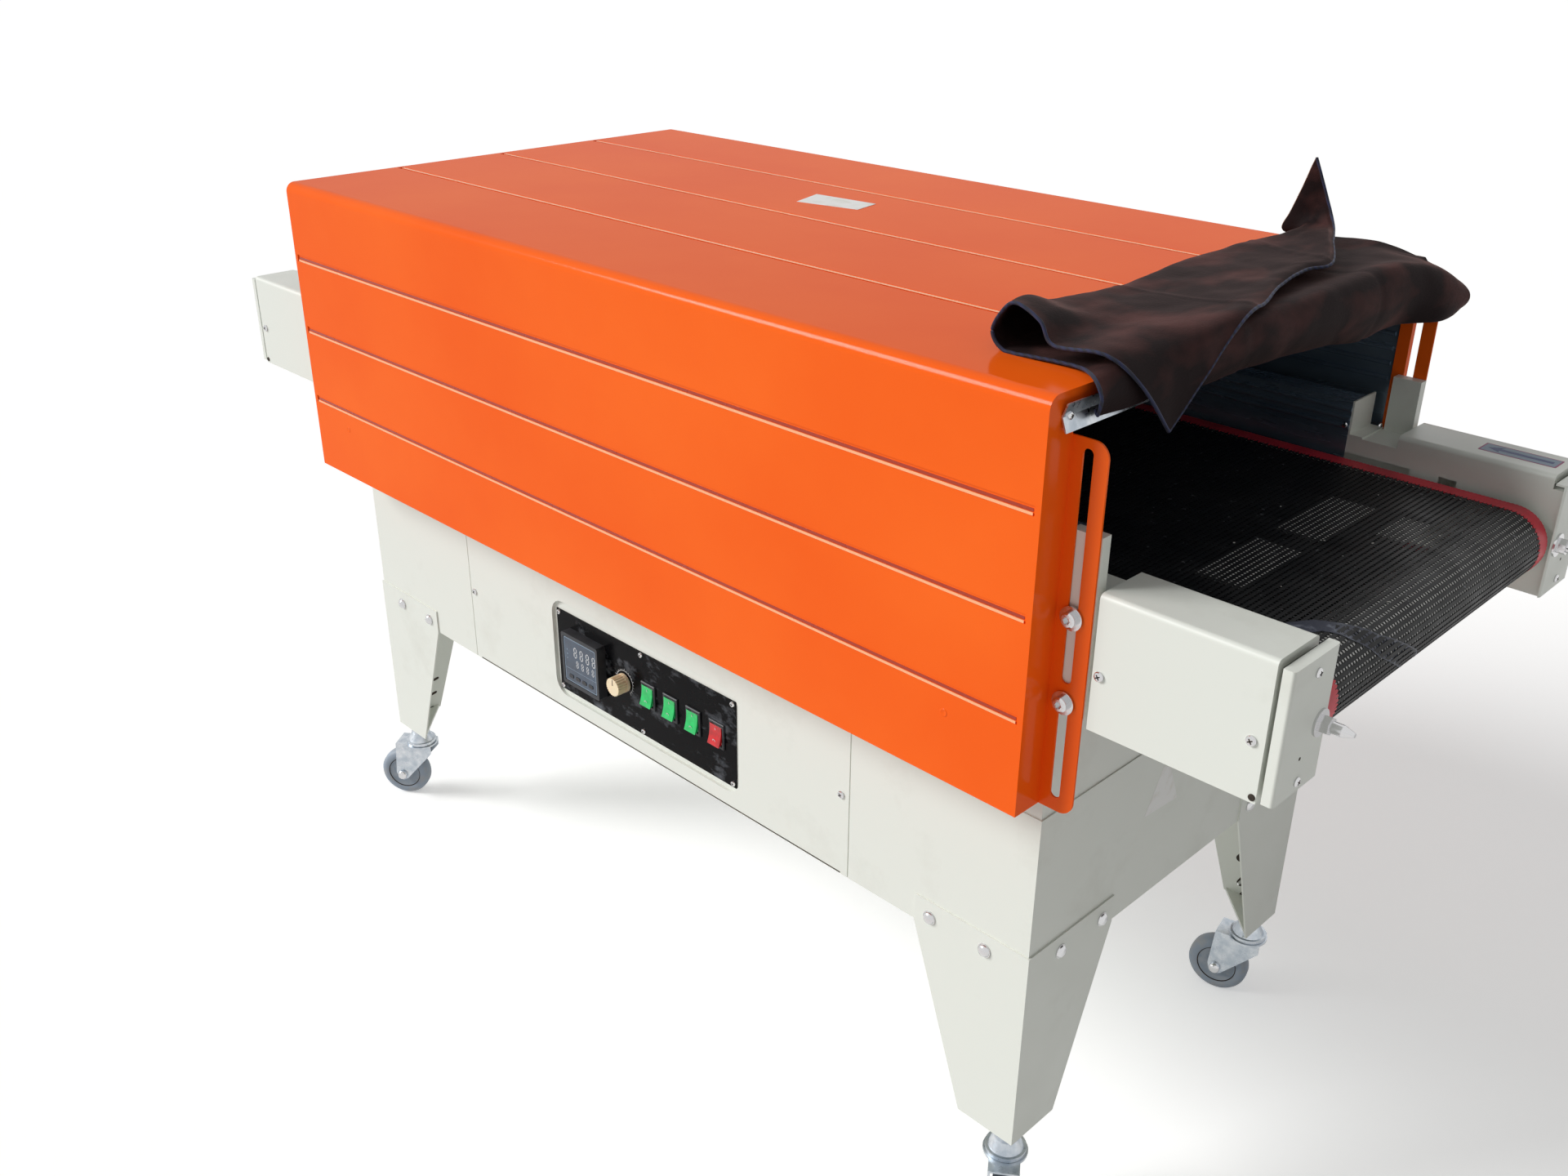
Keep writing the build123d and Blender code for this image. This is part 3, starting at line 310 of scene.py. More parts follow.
class Shape:
    """Points and faces that are gathered into one mesh. Sizes are in millimetres."""

    def __init__(self):
        self.points = []
        self.faces = []
        self.inks = []

    def add(self, points, faces, place=None, ink=0):
        """Adds points and faces at a place. The ink is the number of their finish."""
        start = len(self.points)
        for point in points:
            point = Vector(point)
            self.points.append(place @ point if place else point)
        for face in faces:
            self.faces.append([start + index for index in face])
            self.inks.append(ink)

    def loft(self, rings, place=None, ink=0, closed=False, capped=True):
        """Joins rings of points one to the next. A closed loft joins the last ring to the first."""
        count = len(rings[0])
        faces = []
        for r in range(len(rings) if closed else len(rings) - 1):
            here, there = r * count, (r + 1) % len(rings) * count
            for k in range(count):
                after = (k + 1) % count
                faces.append((here + k, here + after, there + after, there + k))
        if capped and not closed:
            last = (len(rings) - 1) * count
            faces += [range(count)[::-1], range(last, last + count)]
        self.add([point for ring in rings for point in ring], faces, place, ink)

    def prism(self, outline, low, high, place=None, ink=0):
        """A flat outline given thickness along the local Z axis."""
        self.loft([[(x, y, z) for x, y in outline] for z in (low, high)], place, ink)

    def revolve(self, profile, place=None, steps=24, ink=0, closed=False):
        """A profile of (radius, height) turned about the local Z axis."""
        self.loft([[(x, y, z) for x, y in polygon(r, steps)] for r, z in profile], place, ink, closed)

    def tube(self, path, radius, sides, ink=0):
        """A thin round bar along a path of points."""
        path = [Vector(point) for point in path]
        rings = []
        for k, point in enumerate(path):
            along = (path[min(k + 1, len(path) - 1)] - path[max(k - 1, 0)]).normalized()
            across = along.cross(Vector((0, 0, 1)))
            if across.length < 0.05:
                across = along.cross(Vector((1, 0, 0)))
            across.normalize()
            other = across.cross(along)
            rings.append([point + a * across + b * other for a, b in polygon(radius, sides)])
        self.loft(rings, None, ink)

    def build(self, name, body, finishes, smooth=True):
        """Makes the piece, gives it its finishes and lets it ride on its body."""
        mesh = bpy.data.meshes.new(name)
        mesh.from_pydata([p * MM for p in self.points], [], self.faces)
        for polygon, ink in zip(mesh.polygons, self.inks):
            polygon.material_index = ink
        for key in finishes:
            mesh.materials.append(finish(key))
        work = bmesh.new()
        work.from_mesh(mesh)
        bmesh.ops.recalc_face_normals(work, faces=work.faces)
        work.to_mesh(mesh)
        work.free()
        piece = bpy.data.objects.new(name, mesh)
        bpy.context.scene.collection.objects.link(piece)
        if smooth:
            smooth_by_angle(piece)
        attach(piece, body)
        return piece


SMOOTH_ANGLE = math.radians(32)


def smooth_by_angle(piece):
    """Smooth shading that keeps sharp edges."""
    mesh = piece.data
    for polygon in mesh.polygons:
        polygon.use_smooth = True
    work = bmesh.new()
    work.from_mesh(mesh)
    for edge in work.edges:
        if len(edge.link_faces) == 2 and edge.calc_face_angle(0) > SMOOTH_ANGLE:
            edge.smooth = False
    work.to_mesh(mesh)
    work.free()


TURNS = {
    "+x": Matrix(((0, 0, 1), (1, 0, 0), (0, 1, 0))),
    "-x": Matrix(((0, 0, -1), (-1, 0, 0), (0, 1, 0))),
    "+y": Matrix(((-1, 0, 0), (0, 0, 1), (0, 1, 0))),
    "-y": Matrix(((1, 0, 0), (0, 0, -1), (0, 1, 0))),
    "+z": Matrix(((1, 0, 0), (0, 1, 0), (0, 0, 1))),
}


def facing(side, x, y, z, spin=0.0):
    """A place whose local Z axis points to that side. On a wall the local Y axis points up."""
    turn = TURNS[side].to_4x4() @ Matrix.Rotation(math.radians(spin), 4, "Z")
    return Matrix.Translation((x, y, z)) @ turn



def rectangle(left, right, low, high):
    """The outline of a rectangle between four values."""
    return [(left, low), (right, low), (right, high), (left, high)]


def round_rectangle(width, height, radius, steps=4):
    """The outline of a rectangle with round corners, about its middle."""
    outline = []
    for index, (sx, sy) in enumerate(((1, 1), (-1, 1), (-1, -1), (1, -1))):
        cx, cy = sx * (width / 2 - radius), sy * (height / 2 - radius)
        for k in range(steps + 1):
            turn = math.pi / 2 * (index + k / steps)
            outline.append((cx + radius * math.cos(turn), cy + radius * math.sin(turn)))
    return outline


def polygon(radius, sides):
    """The outline of a polygon of equal sides."""
    angles = [2 * math.pi * k / sides for k in range(sides)]
    return [(radius * math.cos(a), radius * math.sin(a)) for a in angles]


def pointed_bar(first, last, width):
    """The outline of a bar with pointed ends between two points."""
    first, last = Vector(first), Vector(last)
    along = (last - first).normalized() * width / 2
    side = Vector((-along.y, along.x))
    return [first, first + along + side, last - along + side, last, last - along - side, first + along - side]


# Radius and height of each kind of screw head.
SCREWS = {"strip": (3.6, 2.6), "plate": (3.4, 2.2), "panel": (4.4, 2.6), "cover": (4.6, 2.8),
          "lip": (3.0, 1.4), "end_plate": (4.2, 2.6), "bracket": (3.4, 2.2), "shield": (3.0, 1.8)}
LEG_BOLT = (7.0, 5.0)


def pan_screw(shape, kind, place, spin, ink=0):
    """A pan-head screw with a cross recess, drawn as a dark cross on the head: painted shade. The recess
    takes the shape's second finish.
    """
    radius, height = SCREWS[kind]
    dome = [(radius, 0), (radius, height * 0.45), (radius * 0.86, height * 0.8), (radius * 0.55, height),
            (0.05, height * 1.02)]
    shape.revolve(dome, place, 20, ink)
    for turn in (spin, spin + 90):
        bar = Matrix.Rotation(math.radians(turn), 4, "Z")
        outline = round_rectangle(radius * 1.1, radius * 0.24, radius * 0.1, 2)
        shape.prism(outline, height * 0.9, height * 1.06, place @ bar, 1)


def dome_bolt(shape, place):
    """A mushroom-headed bolt on a thin washer."""
    radius, height = LEG_BOLT
    washer = [(radius * 1.12, 0), (radius * 1.12, 1.0), (radius, 1.1)]
    dome = [(radius * 0.93, height * 0.5), (radius * 0.7, height * 0.82), (radius * 0.3, height),
            (0.05, height * 1.02)]
    shape.revolve(washer + dome, place)


def dress(node, key):
    """Gives a CAD node its finish."""
    materials = NODES[node].data.materials
    materials.clear()
    materials.append(finish(key))


def corners(node):
    """The lowest and highest corner of a CAD node, in millimetres."""
    low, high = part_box(node)
    return low / MM, high / MM


# Settings that a user would change

class DryerColours(bpy.types.PropertyGroup):
    hood: bpy.props.StringProperty(
        name="Hood", description="Colour of the hood's paint, as sRGB hex", default="#FF6C1C")
    hood_shade: bpy.props.StringProperty(
        name="Hood, second tone", description="The darker tone in the hood's paint, as sRGB hex",
        default="#FA6214")
    base: bpy.props.StringProperty(
        name="Base", description="Colour of the base and rails, as sRGB hex", default="#E4E7DF")


class DryerBelt(bpy.types.PropertyGroup):
    pitch: bpy.props.FloatProperty(
        name="Mesh pitch", description="Distance between the belt's strands", default=6 * MM, unit="LENGTH")
    strand: bpy.props.FloatProperty(
        name="Strand", description="Width of one crosswise strand", default=3.6 * MM, unit="LENGTH")
    edge: bpy.props.FloatProperty(
        name="Edge band", description="Width of the red bands along the belt", default=18 * MM, unit="LENGTH")


class DryerCurtain(bpy.types.PropertyGroup):
    steps: bpy.props.IntProperty(
        name="Steps", description="Divisions between two of the curtain's drawn lines", default=12, min=4,
        max=20)
    crease: bpy.props.FloatProperty(
        name="Creases", description="Height of the curtain's small creases", default=1.2 * MM, unit="LENGTH")


class DryerStage(bpy.types.PropertyGroup):
    sun: bpy.props.FloatProperty(
        name="Sun", description="Strength of the large soft light", default=2.75)
    surround: bpy.props.FloatProperty(
        name="Surround", description="Strength of the even light from all round", default=0.28)
    floor: bpy.props.StringProperty(
        name="Floor", description="Colour of the floor, as sRGB hex", default="#F0F0EF")


# Pieces

# The dimples' X and height on the hood's long sides, their profile, and the label's corners on its top.
DIMPLES_X, DIMPLE_HEIGHT = (-517, 515), 637
DIMPLE = [(4.2, 0), (3.4, 0.5), (2.2, 0.25), (1.0, 0.05), (0.05, 0)]
LABEL = [(-61, 58), (23, 76), (15, 117), (-77, 109)]
GROOVE_SHARES = (0.25, 0.5, 0.75)
GROOVE_END = 8


class DressHood(bpy.types.Operator):
    """Paints the hood and adds its label and dimples"""
    bl_idname = "dryer.hood"
    bl_label = "Hood"

    def execute(self, context):
        dress("hood_shell", "orange")
        dress("hood_liner", "liner")
        low, high = corners("hood_shell")
        dimples = Shape()
        for x in DIMPLES_X:
            dimples.revolve(DIMPLE, facing("-y", x, low.y, DIMPLE_HEIGHT), 20)
            dimples.revolve(DIMPLE, facing("+y", x, high.y, DIMPLE_HEIGHT), 20)
        dimples.build("hood_dimples", "hood", ["orange"])
        self.grooves(low, high)
        label = Shape()
        label.prism(LABEL, 0.05, 0.35, facing("+z", 0, 0, high.z))
        label.build("blank_label", "hood", ["paper"])
        return {"FINISHED"}

    def grooves(self, low, high):
        """Painted highlight on each groove's lit flank and crest, and painted shade in its root."""
        strips = Shape()
        end = corners("clamp_strip_right")[0].x - GROOVE_END
        flank = rectangle(-end, end, -4.3, -1.7)
        root = rectangle(-end, end, -1.2, 1.6)
        crest = rectangle(-end, end, -4.0, -0.6)
        for share in GROOVE_SHARES:
            z = low.z + (high.z - low.z) * share
            for place in (facing("-y", 0, low.y, z), facing("+y", 0, high.y, z)):
                strips.prism(flank, -0.7, -0.3, place)
                strips.prism(root, -1.6, -1.2, place, 1)
            y = low.y + (high.y - low.y) * share
            strips.prism(crest, -0.9, -0.4, facing("+z", 0, y, high.z, 180))
        strips.build("hood_groove_painted_light", "hood", ["lip", "root"], smooth=False)


STRIP_SCREWS = 5
STRIP_SCREW_END = 9
STRIP_SHEET = 1.5
# Each screw's recess is turned that many degrees further than the last one's.
STRIP_SPIN = 31


class DressStrips(bpy.types.Operator):
    """Gives the clamp strips their zinc and their screws"""
    bl_idname = "dryer.strips"
    bl_label = "Clamp strips"

    def execute(self, context):
        screws = Shape()
        for node, side in (("clamp_strip_right", "+x"), ("clamp_strip_left", "-x")):
            dress(node, "zinc")
            low, high = corners(node)
            root = low.x + STRIP_SHEET if side == "+x" else high.x - STRIP_SHEET
            reach = (high.y - low.y) / 2 - STRIP_SCREW_END
            for k in range(STRIP_SCREWS):
                y = -reach + 2 * reach * k / (STRIP_SCREWS - 1)
                pan_screw(screws, "strip", facing(side, root, y, (low.z + high.z) / 2), 25 + STRIP_SPIN * k)
        screws.build("strip_screws", "hood", ["bright", "gap"])
        return {"FINISHED"}


PAINTED = ("base_cabinet", "tunnel_box", "access_panel", "ear_posts", "bearing_plates", "shield_brackets")
LEG_BOLT_INSETS, LEG_BOLT_HEIGHT = (53, 124), 350
LEG_SHEET = 2.0
# Adjusting slots, as (Y, Z) on the left leg and (X, Z, has a pin) on the right one.
LEFT_SLOTS = ((-203, 177), (-209, 154), (-217, 130))
RIGHT_SLOTS = ((537, 190, False), (543, 155, True), (543, 126, True))
PIN = [(1.8, 0), (1.8, 13), (1.2, 14), (0.05, 14)]
STICKER = [(-84.7, 443), (-22.5, 438.7), (-43.4, 484.4), (-57.5, 493.7)]
SEAM_HEIGHT, SEAM_END = 1.6, 10


class DressBase(bpy.types.Operator):
    """Paints the base, legs and rails and adds their bolts"""
    bl_idname = "dryer.base"
    bl_label = "Base and legs"

    def execute(self, context):
        for node in NODES:
            if node in PAINTED or node.startswith(("leg_", "rail_", "end_plate_")):
                dress(node, "cream")
        self.bolts()
        self.seam()
        self.leg_slots()
        sticker = Shape()
        sticker.prism(STICKER, 0.03, 0.2, facing("+x", corners("base_cabinet")[1].x, 0, 0))
        sticker.build("blank_sticker", "base", ["paper"])
        return {"FINISHED"}

    def bolts(self):
        """Two bolts on each outer face of each leg."""
        bolts = Shape()
        for node in [name for name in NODES if name.startswith("leg_")]:
            low, high = corners(node)
            x_side, x, x_step = ("+x", high.x, -1) if node.endswith("right") else ("-x", low.x, 1)
            y_side, y, y_step = ("-y", low.y, 1) if "front" in node else ("+y", high.y, -1)
            for inset in LEG_BOLT_INSETS:
                dome_bolt(bolts, facing(y_side, x + x_step * inset, y, LEG_BOLT_HEIGHT))
                dome_bolt(bolts, facing(x_side, x, y + y_step * inset, LEG_BOLT_HEIGHT))
        bolts.build("leg_bolts", "base", ["bright"])

    def seam(self):
        """Dirt in the open seam under the access panel."""
        low, high = corners("access_panel")
        seam = Shape()
        outline = round_rectangle(high.x - low.x - 2 * SEAM_END, SEAM_HEIGHT, SEAM_HEIGHT / 2, 3)
        seam.prism(outline, 0.02, 0.12, facing("-y", (low.x + high.x) / 2, low.y, low.z + SEAM_HEIGHT))
        seam.build("panel_seam_dirt", "base", ["gap"])

    def leg_slots(self):
        """Adjusting slots in the inner faces of two legs, drawn as flat dark marks of painted shade, with the
        ends of their pins.
        """
        slots = Shape()
        face = corners("leg_front_left")[0].x + LEG_SHEET
        for y, z in LEFT_SLOTS:
            slots.prism(round_rectangle(11, 4, 1.9), 0.02, 0.2, facing("+x", face, y, z, 8))
        face = corners("leg_rear_right")[1].y - LEG_SHEET
        for x, z, pinned in RIGHT_SLOTS:
            place = facing("-y", x, face, z, 62)
            slots.prism(round_rectangle(26, 9, 4.4), 0.02, 0.2, place)
            if pinned:
                slots.revolve(PIN, place, 12, 1)
        slots.build("leg_slots", "base", ["gap", "bright"])


PLATE_SCREW_INSET, PLATE_SCREW_TOP = 5, 4
PANEL_SCREW_HEIGHT = 437
MARK_HEIGHT = 7
DIAL_RADIUS, DIAL_SPAN = 15.0, math.radians(280)
DIAL_TICKS, DIAL_STEPS = 21, 40
TICK, LONG_TICK = 2.4, 3.2
# Seven-segment figures: how many in a row, a bar's share of the width, and the gap between two.
FIGURES, FIGURE_BAR, FIGURE_GAP = 4, 0.16, 3.2


class DressControls(bpy.types.Operator):
    """Finishes the control plate, the controller, the knob and the rockers"""
    bl_idname = "dryer.controls"
    bl_label = "Controls"

    def execute(self, context):
        finishes = {"control_plate": "acrylic", "temperature_controller": "abs", "rocker_housings": "abs",
                    "knob_shaft": "bright", "speed_knob": "urea", "rocker_1": "green", "rocker_2": "green",
                    "rocker_3": "green", "rocker_4": "red"}
        for node, key in finishes.items():
            dress(node, key)
        self.screws()
        self.controller_face()
        self.dial()
        for index in range(1, 5):
            self.rocker_marks(index)
        return {"FINISHED"}

    def screws(self):
        """Pan-head screws round the control plate and on the access panel."""
        screws = Shape()
        low, high = corners("control_plate")
        columns = (low.x + PLATE_SCREW_INSET, (low.x + high.x) / 2, high.x - PLATE_SCREW_INSET)
        for index, x in enumerate(columns):
            for z in (low.z + PLATE_SCREW_INSET, high.z - PLATE_SCREW_TOP):
                pan_screw(screws, "plate", facing("-y", x, low.y, z), 17 + 40 * index)
        low, high = corners("access_panel")
        for x in (low.x + 8, high.x - 11):
            pan_screw(screws, "panel", facing("-y", x, low.y, PANEL_SCREW_HEIGHT), 35)
        screws.build("panel_screws", "base", ["bright", "gap"])

    def controller_face(self):
        """A tinted window with unlit figures, a dividing line, three lamps and four small keys."""
        low, high = corners("temperature_controller")
        face = facing("-y", (low.x + high.x) / 2, low.y + 1.0, (low.z + high.z) / 2)
        width, height = high.x - low.x - 9, high.z - low.z - 11
        border = round_rectangle(width, height, 2)
        window = Shape()
        window.prism(border, -0.2, 0.35, face)
        inner = round_rectangle(width - 2.5, height - 2.5, 1.4)
        window.loft([[(x, y, 0.42) for x, y in ring] for ring in (border, inner)], face, 1, capped=False)
        figures(window, face, -12, 14, 9.0, 13)
        figures(window, face, -8, -1.5, 7.2, 9)
        half = (high.x - low.x) * 0.43
        window.prism(rectangle(-half, half, -12.6, -12.0), 0.36, 0.46, face, 1)
        for k in range(4):
            key = [(13 * k - 19.5 + x, y - 22.5) for x, y in round_rectangle(8.5, 5.0, 1.6)]
            window.prism(key, 0.3, 1.0, face, 3)
        for k in range(3):
            lamp = [(x - 25, 6 * k + 2 + y) for x, y in polygon(1.1, 10)]
            window.prism(lamp, 0.3, 0.6, face, 1)
        window.build("controller_face", "base", ["window", "grey_ink", "white_ink", "abs"])

    def dial(self):
        """The printed arc and ticks round the knob, and the knob's pointer."""
        plate = corners("control_plate")[0].y
        low, high = corners("speed_knob")
        x, z = (low.x + high.x) / 2, (low.z + high.z) / 2
        place = facing("-y", x, plate, z)
        dial = Shape()
        first = math.pi / 2 + DIAL_SPAN / 2
        for k in range(DIAL_TICKS):
            turn = Matrix.Rotation(first - DIAL_SPAN * k / (DIAL_TICKS - 1), 4, "Z")
            length = TICK if k % 5 else LONG_TICK
            dial.prism(rectangle(DIAL_RADIUS, DIAL_RADIUS + length, -0.3, 0.3), 0.02, 0.1, place @ turn)
        turns = [first - DIAL_SPAN * k / DIAL_STEPS for k in range(DIAL_STEPS + 1)]
        outer, inner = [[(r * math.cos(turn), r * math.sin(turn)) for turn in turns]
                        for r in (DIAL_RADIUS + 0.7, DIAL_RADIUS)]
        for k in range(DIAL_STEPS):
            dial.prism([outer[k], outer[k + 1], inner[k + 1], inner[k]], 0.02, 0.1, place)
        dial.build("dial_print", "base", ["white_ink"])
        pointer = Shape()
        pointer.prism(rectangle(-0.6, 0.6, 2, 10), -0.02, 0.12, facing("-y", x, low.y, z))
        pointer.build("knob_pointer", "knob", ["gap"])

    def rocker_marks(self, index):
        """The line and ring on one rocker key."""
        node = f"rocker_{index}"
        low, high = corners(node)
        x, z = (low.x + high.x) / 2, (low.z + high.z) / 2
        upper = face_point(NODES[node].data, x, z + MARK_HEIGHT)
        lower = face_point(NODES[node].data, x, z - MARK_HEIGHT)
        tilt = Matrix.Rotation(-math.atan2(lower.y - upper.y, upper.z - lower.z), 4, "X")
        marks = Shape()
        marks.prism(rectangle(-0.5, 0.5, -2.4, 2.4), 0.0, 0.12, facing("-y", *upper) @ tilt)
        ring = [(2.3, 0), (2.3, 0.12), (1.4, 0.12), (1.4, 0)]
        marks.revolve(ring, facing("-y", *lower) @ tilt, 20, closed=True)
        marks.build(f"rocker_mark_{index}", f"key_{index}", ["white_ink"])


def face_point(mesh, x, z):
    """A point just before a mesh's face, by the eight vertices nearest in height."""
    near = [v.co / MM for v in mesh.vertices if abs(v.co.x / MM - x) < 12]
    near.sort(key=lambda point: (point.z - z) ** 2)
    return Vector((x, min(point.y for point in near[:8]) - 0.15, z))


def figures(shape, place, start, middle, width, height):
    """A row of unlit seven-segment figures, each narrower than the width by a gap."""
    bar = width * FIGURE_BAR
    levels = (middle - height / 2, middle, middle + height / 2)
    for k in range(FIGURES):
        left = start + (width + FIGURE_GAP) * k
        right = left + width - FIGURE_GAP
        bars = [((left + bar * 0.7, y), (right - bar * 0.7, y)) for y in levels]
        for x in (left + bar * 0.3, right - bar * 0.3):
            bars += [((x, y + bar * 0.3), (x, top - bar * 0.3)) for y, top in zip(levels, levels[1:])]
        for first, last in bars:
            shape.prism(pointed_bar(first, last, bar), 0.36, 0.44, place, 2)


# The mesh belt. Lengths along its loop start on top of the infeed roller.
BELT_SKIN = 1.5
BEND_STEPS = 14
LENGTHWISE_PITCH, LENGTHWISE_STRAND = 4.5, 1.2
TOOTH_PITCH, TOOTH_DEPTH = 4, 2
SPLICE = [(40, -205), (11, -158), (-12, -146), (-34, -126), (-70, -64), (-160, 20), (-448, 205)]
SPLICE_WIDTH, SPLICE_STEP, SPLICE_LIFT = 20, 4, 0.62
# The bed's cells in X and Y, and which of them are pale patches of painted light.
BED_X = (-735, 633, 680, 709, 735)
BED_Y = (-206, -136, -30, 5, 57, 115, 206)
BED_PAINTED_LIGHT = ((633, 680, -136, -30), (633, 680, 5, 115), (709, 735, 57, 115))
BED_DROP, BED_SHEET, PAINTED_LIGHT_DROP = 4.5, 1, 0.4
LINT = 12


class DressBelt(bpy.types.Operator):
    """Makes the open mesh belt with its red bands and splice, and finishes the rollers"""
    bl_idname = "dryer.belt"
    bl_label = "Mesh belt"

    def execute(self, context):
        settings = context.scene.dryer_belt
        low, high = corners("belt")
        self.radius = (high.z - low.z) / 2 - BELT_SKIN / 2
        self.height = (high.z + low.z) / 2
        self.reach = high.x - (high.z - low.z) / 2
        self.loop = 2 * (2 * self.reach + math.pi * self.radius)
        self.half = high.y
        self.inner = high.y - settings.edge / MM
        dress("roller_right", "pale_metal_and_painted_light")
        dress("roller_left", "pale_metal_and_painted_light")
        mesh = self.strands(settings.pitch / MM, settings.strand / MM)
        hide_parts("belt")
        self.bands()
        self.splice()
        self.bed()
        self.lint()
        return {"FINISHED"}

    def point(self, along, y, out=0.0):
        """A point at that length along the loop, and that far outside it."""
        run, bend = 2 * self.reach, math.pi * self.radius
        level = self.radius + out
        along %= self.loop
        if along < run:
            return self.reach - along, y, self.height + level
        along -= run
        if along < bend:
            centre, turn = -self.reach, math.pi / 2 + along / self.radius
        elif along < bend + run:
            return -self.reach + along - bend, y, self.height - level
        else:
            centre, turn = self.reach, -math.pi / 2 + (along - bend - run) / self.radius
        return centre + level * math.cos(turn), y, self.height + level * math.sin(turn)

    def stations(self):
        """Lengths along the loop where a lengthwise strand needs a point."""
        run, bend = 2 * self.reach, math.pi * self.radius
        marks = []
        for start in (0, run + bend):
            marks += [start + run * k / 4 for k in range(4)]
            marks += [start + run + bend * k / BEND_STEPS for k in range(BEND_STEPS)]
        return marks

    def strands(self, pitch, width):
        """All the lengthwise and crosswise strands of the mesh."""
        shape = Shape()
        rows = round(2 * self.inner / LENGTHWISE_PITCH)
        half = LENGTHWISE_STRAND / 2
        for k in range(rows + 1):
            y = -self.inner + 2 * self.inner * k / rows
            section = rectangle(y - half, y + half, -0.25, 0.25)
            rings = [[self.point(mark, *corner) for corner in section] for mark in self.stations()]
            shape.loft(rings, closed=True)
        columns = round(self.loop / pitch)
        section = rectangle(-width / 2, width / 2, -0.3, 0.4)
        for k in range(columns):
            mark = self.loop * k / columns
            ends = (-self.inner - 2, self.inner + 2)
            shape.loft([[self.point(mark + along, y, out) for along, out in section] for y in ends])
        return shape.build("belt_mesh_strands", "base", ["mesh"], smooth=False)

    def bands(self):
        """The solid red bands along both sides, ribbed, with a toothed inner edge."""
        shape = Shape()
        count = 2 * round(self.loop / TOOTH_PITCH)
        for side in (-1, 1):
            rings = []
            for k in range(count):
                tooth, rib = (0, 0.3) if k % 2 else (TOOTH_DEPTH, 0.65)
                section = rectangle(side * (self.inner - tooth), side * self.half, -0.6, rib)
                rings.append([self.point(self.loop * k / count, *corner) for corner in section])
            shape.loft(rings, closed=True)
        shape.build("belt_edge_bands", "base", ["edge"])

    def splice(self):
        """The sealed strip that runs slantwise across the belt's joint."""
        line = []
        for (here, y), (there, y_next) in zip(SPLICE, SPLICE[1:]):
            steps = max(2, round(abs(here - there) / SPLICE_STEP))
            line += [(here + (there - here) * k / steps, y + (y_next - y) * k / steps) for k in range(steps)]
        line.append(SPLICE[-1])
        points = []
        for k, (mark, y) in enumerate(line):
            ahead, behind = line[min(k + 1, len(line) - 1)], line[max(k - 1, 0)]
            run = Vector((ahead[0] - behind[0], ahead[1] - behind[1])).normalized()
            for width in (-SPLICE_WIDTH / 2, SPLICE_WIDTH / 2):
                place = max(-self.inner, min(self.inner, y + run.x * width))
                points.append(self.point(mark - run.y * width, place, SPLICE_LIFT))
        shape = Shape()
        shape.add(points, [(2 * k, 2 * k + 1, 2 * k + 3, 2 * k + 2) for k in range(len(line) - 1)])
        shape.build("belt_splice", "base", ["splice"])

    def bed(self):
        """The dark sheet under the belt's upper run, painted shade, with pale raised patches of painted light
        in a few places.
        """
        shape = Shape()
        top = self.height + self.radius
        for x0, x1 in zip(BED_X, BED_X[1:]):
            for y0, y1 in zip(BED_Y, BED_Y[1:]):
                x, y = (x0 + x1) / 2, (y0 + y1) / 2
                # A pale, raised cell is painted light; the other cells are the dark sheet, painted shade.
                pale_metal_and_painted_light = any(left < x < right and front < y < rear for left, right, front, rear in BED_PAINTED_LIGHT)
                upper = top - PAINTED_LIGHT_DROP if pale_metal_and_painted_light else top - BED_DROP + BED_SHEET
                shape.prism(rectangle(x0, x1, y0, y1), top - BED_DROP, upper, None, int(pale_metal_and_painted_light))
        shape.build("belt_bed", "base", ["bed", "pale_metal_and_painted_light"])

    def lint(self):
        """Scraps of white lint on the belt."""
        shape = Shape()
        for _ in range(LINT):
            y = random.uniform(-self.inner, self.inner)
            place = self.point(random.uniform(-40, 170), y, 0.5)
            radius = random.uniform(0.5, 1.6)
            outline = [(x * random.uniform(0.6, 1.3), y * random.uniform(0.4, 1.0))
                       for x, y in polygon(radius, 6)]
            shape.prism(outline, 0, 0.3, facing("+z", *place, random.uniform(0, 180)))
        shape.build("belt_lint", "base", ["wool"])


COVER_SCREW_HEIGHT = 715
# Insets of the covers' screws, from the end beside the hood and from the outer end.
COVER_SCREW_INSETS = (7, 11)
LIP_SCREW_INSETS = (3.5, 5)
# Y of the end plates' screws, below their top and above their foot, and of a hole above the foot.
TOP_SCREW, FOOT_SCREW, PLATE_HOLE = (260, 14), (264, 10), (265, 31)
BRACKET_SCREW_INSETS = (10, 32)
SHIELD_SCREW_INSETS = (4, 12)
SKIRT_OVERLAP = 6
LINER_FACE = 296
FOLDS, FOLD_LOW, FOLD_STEP, FOLD_RADIUS, FOLD_END = 5, 826, 16, 2.4, 6
WOOL_BALLS, WOOL_PLACE = 14, (606, 304, 787)
ARROW_PLACE, ARROW_SIZE = (752, 268), (76, 25)


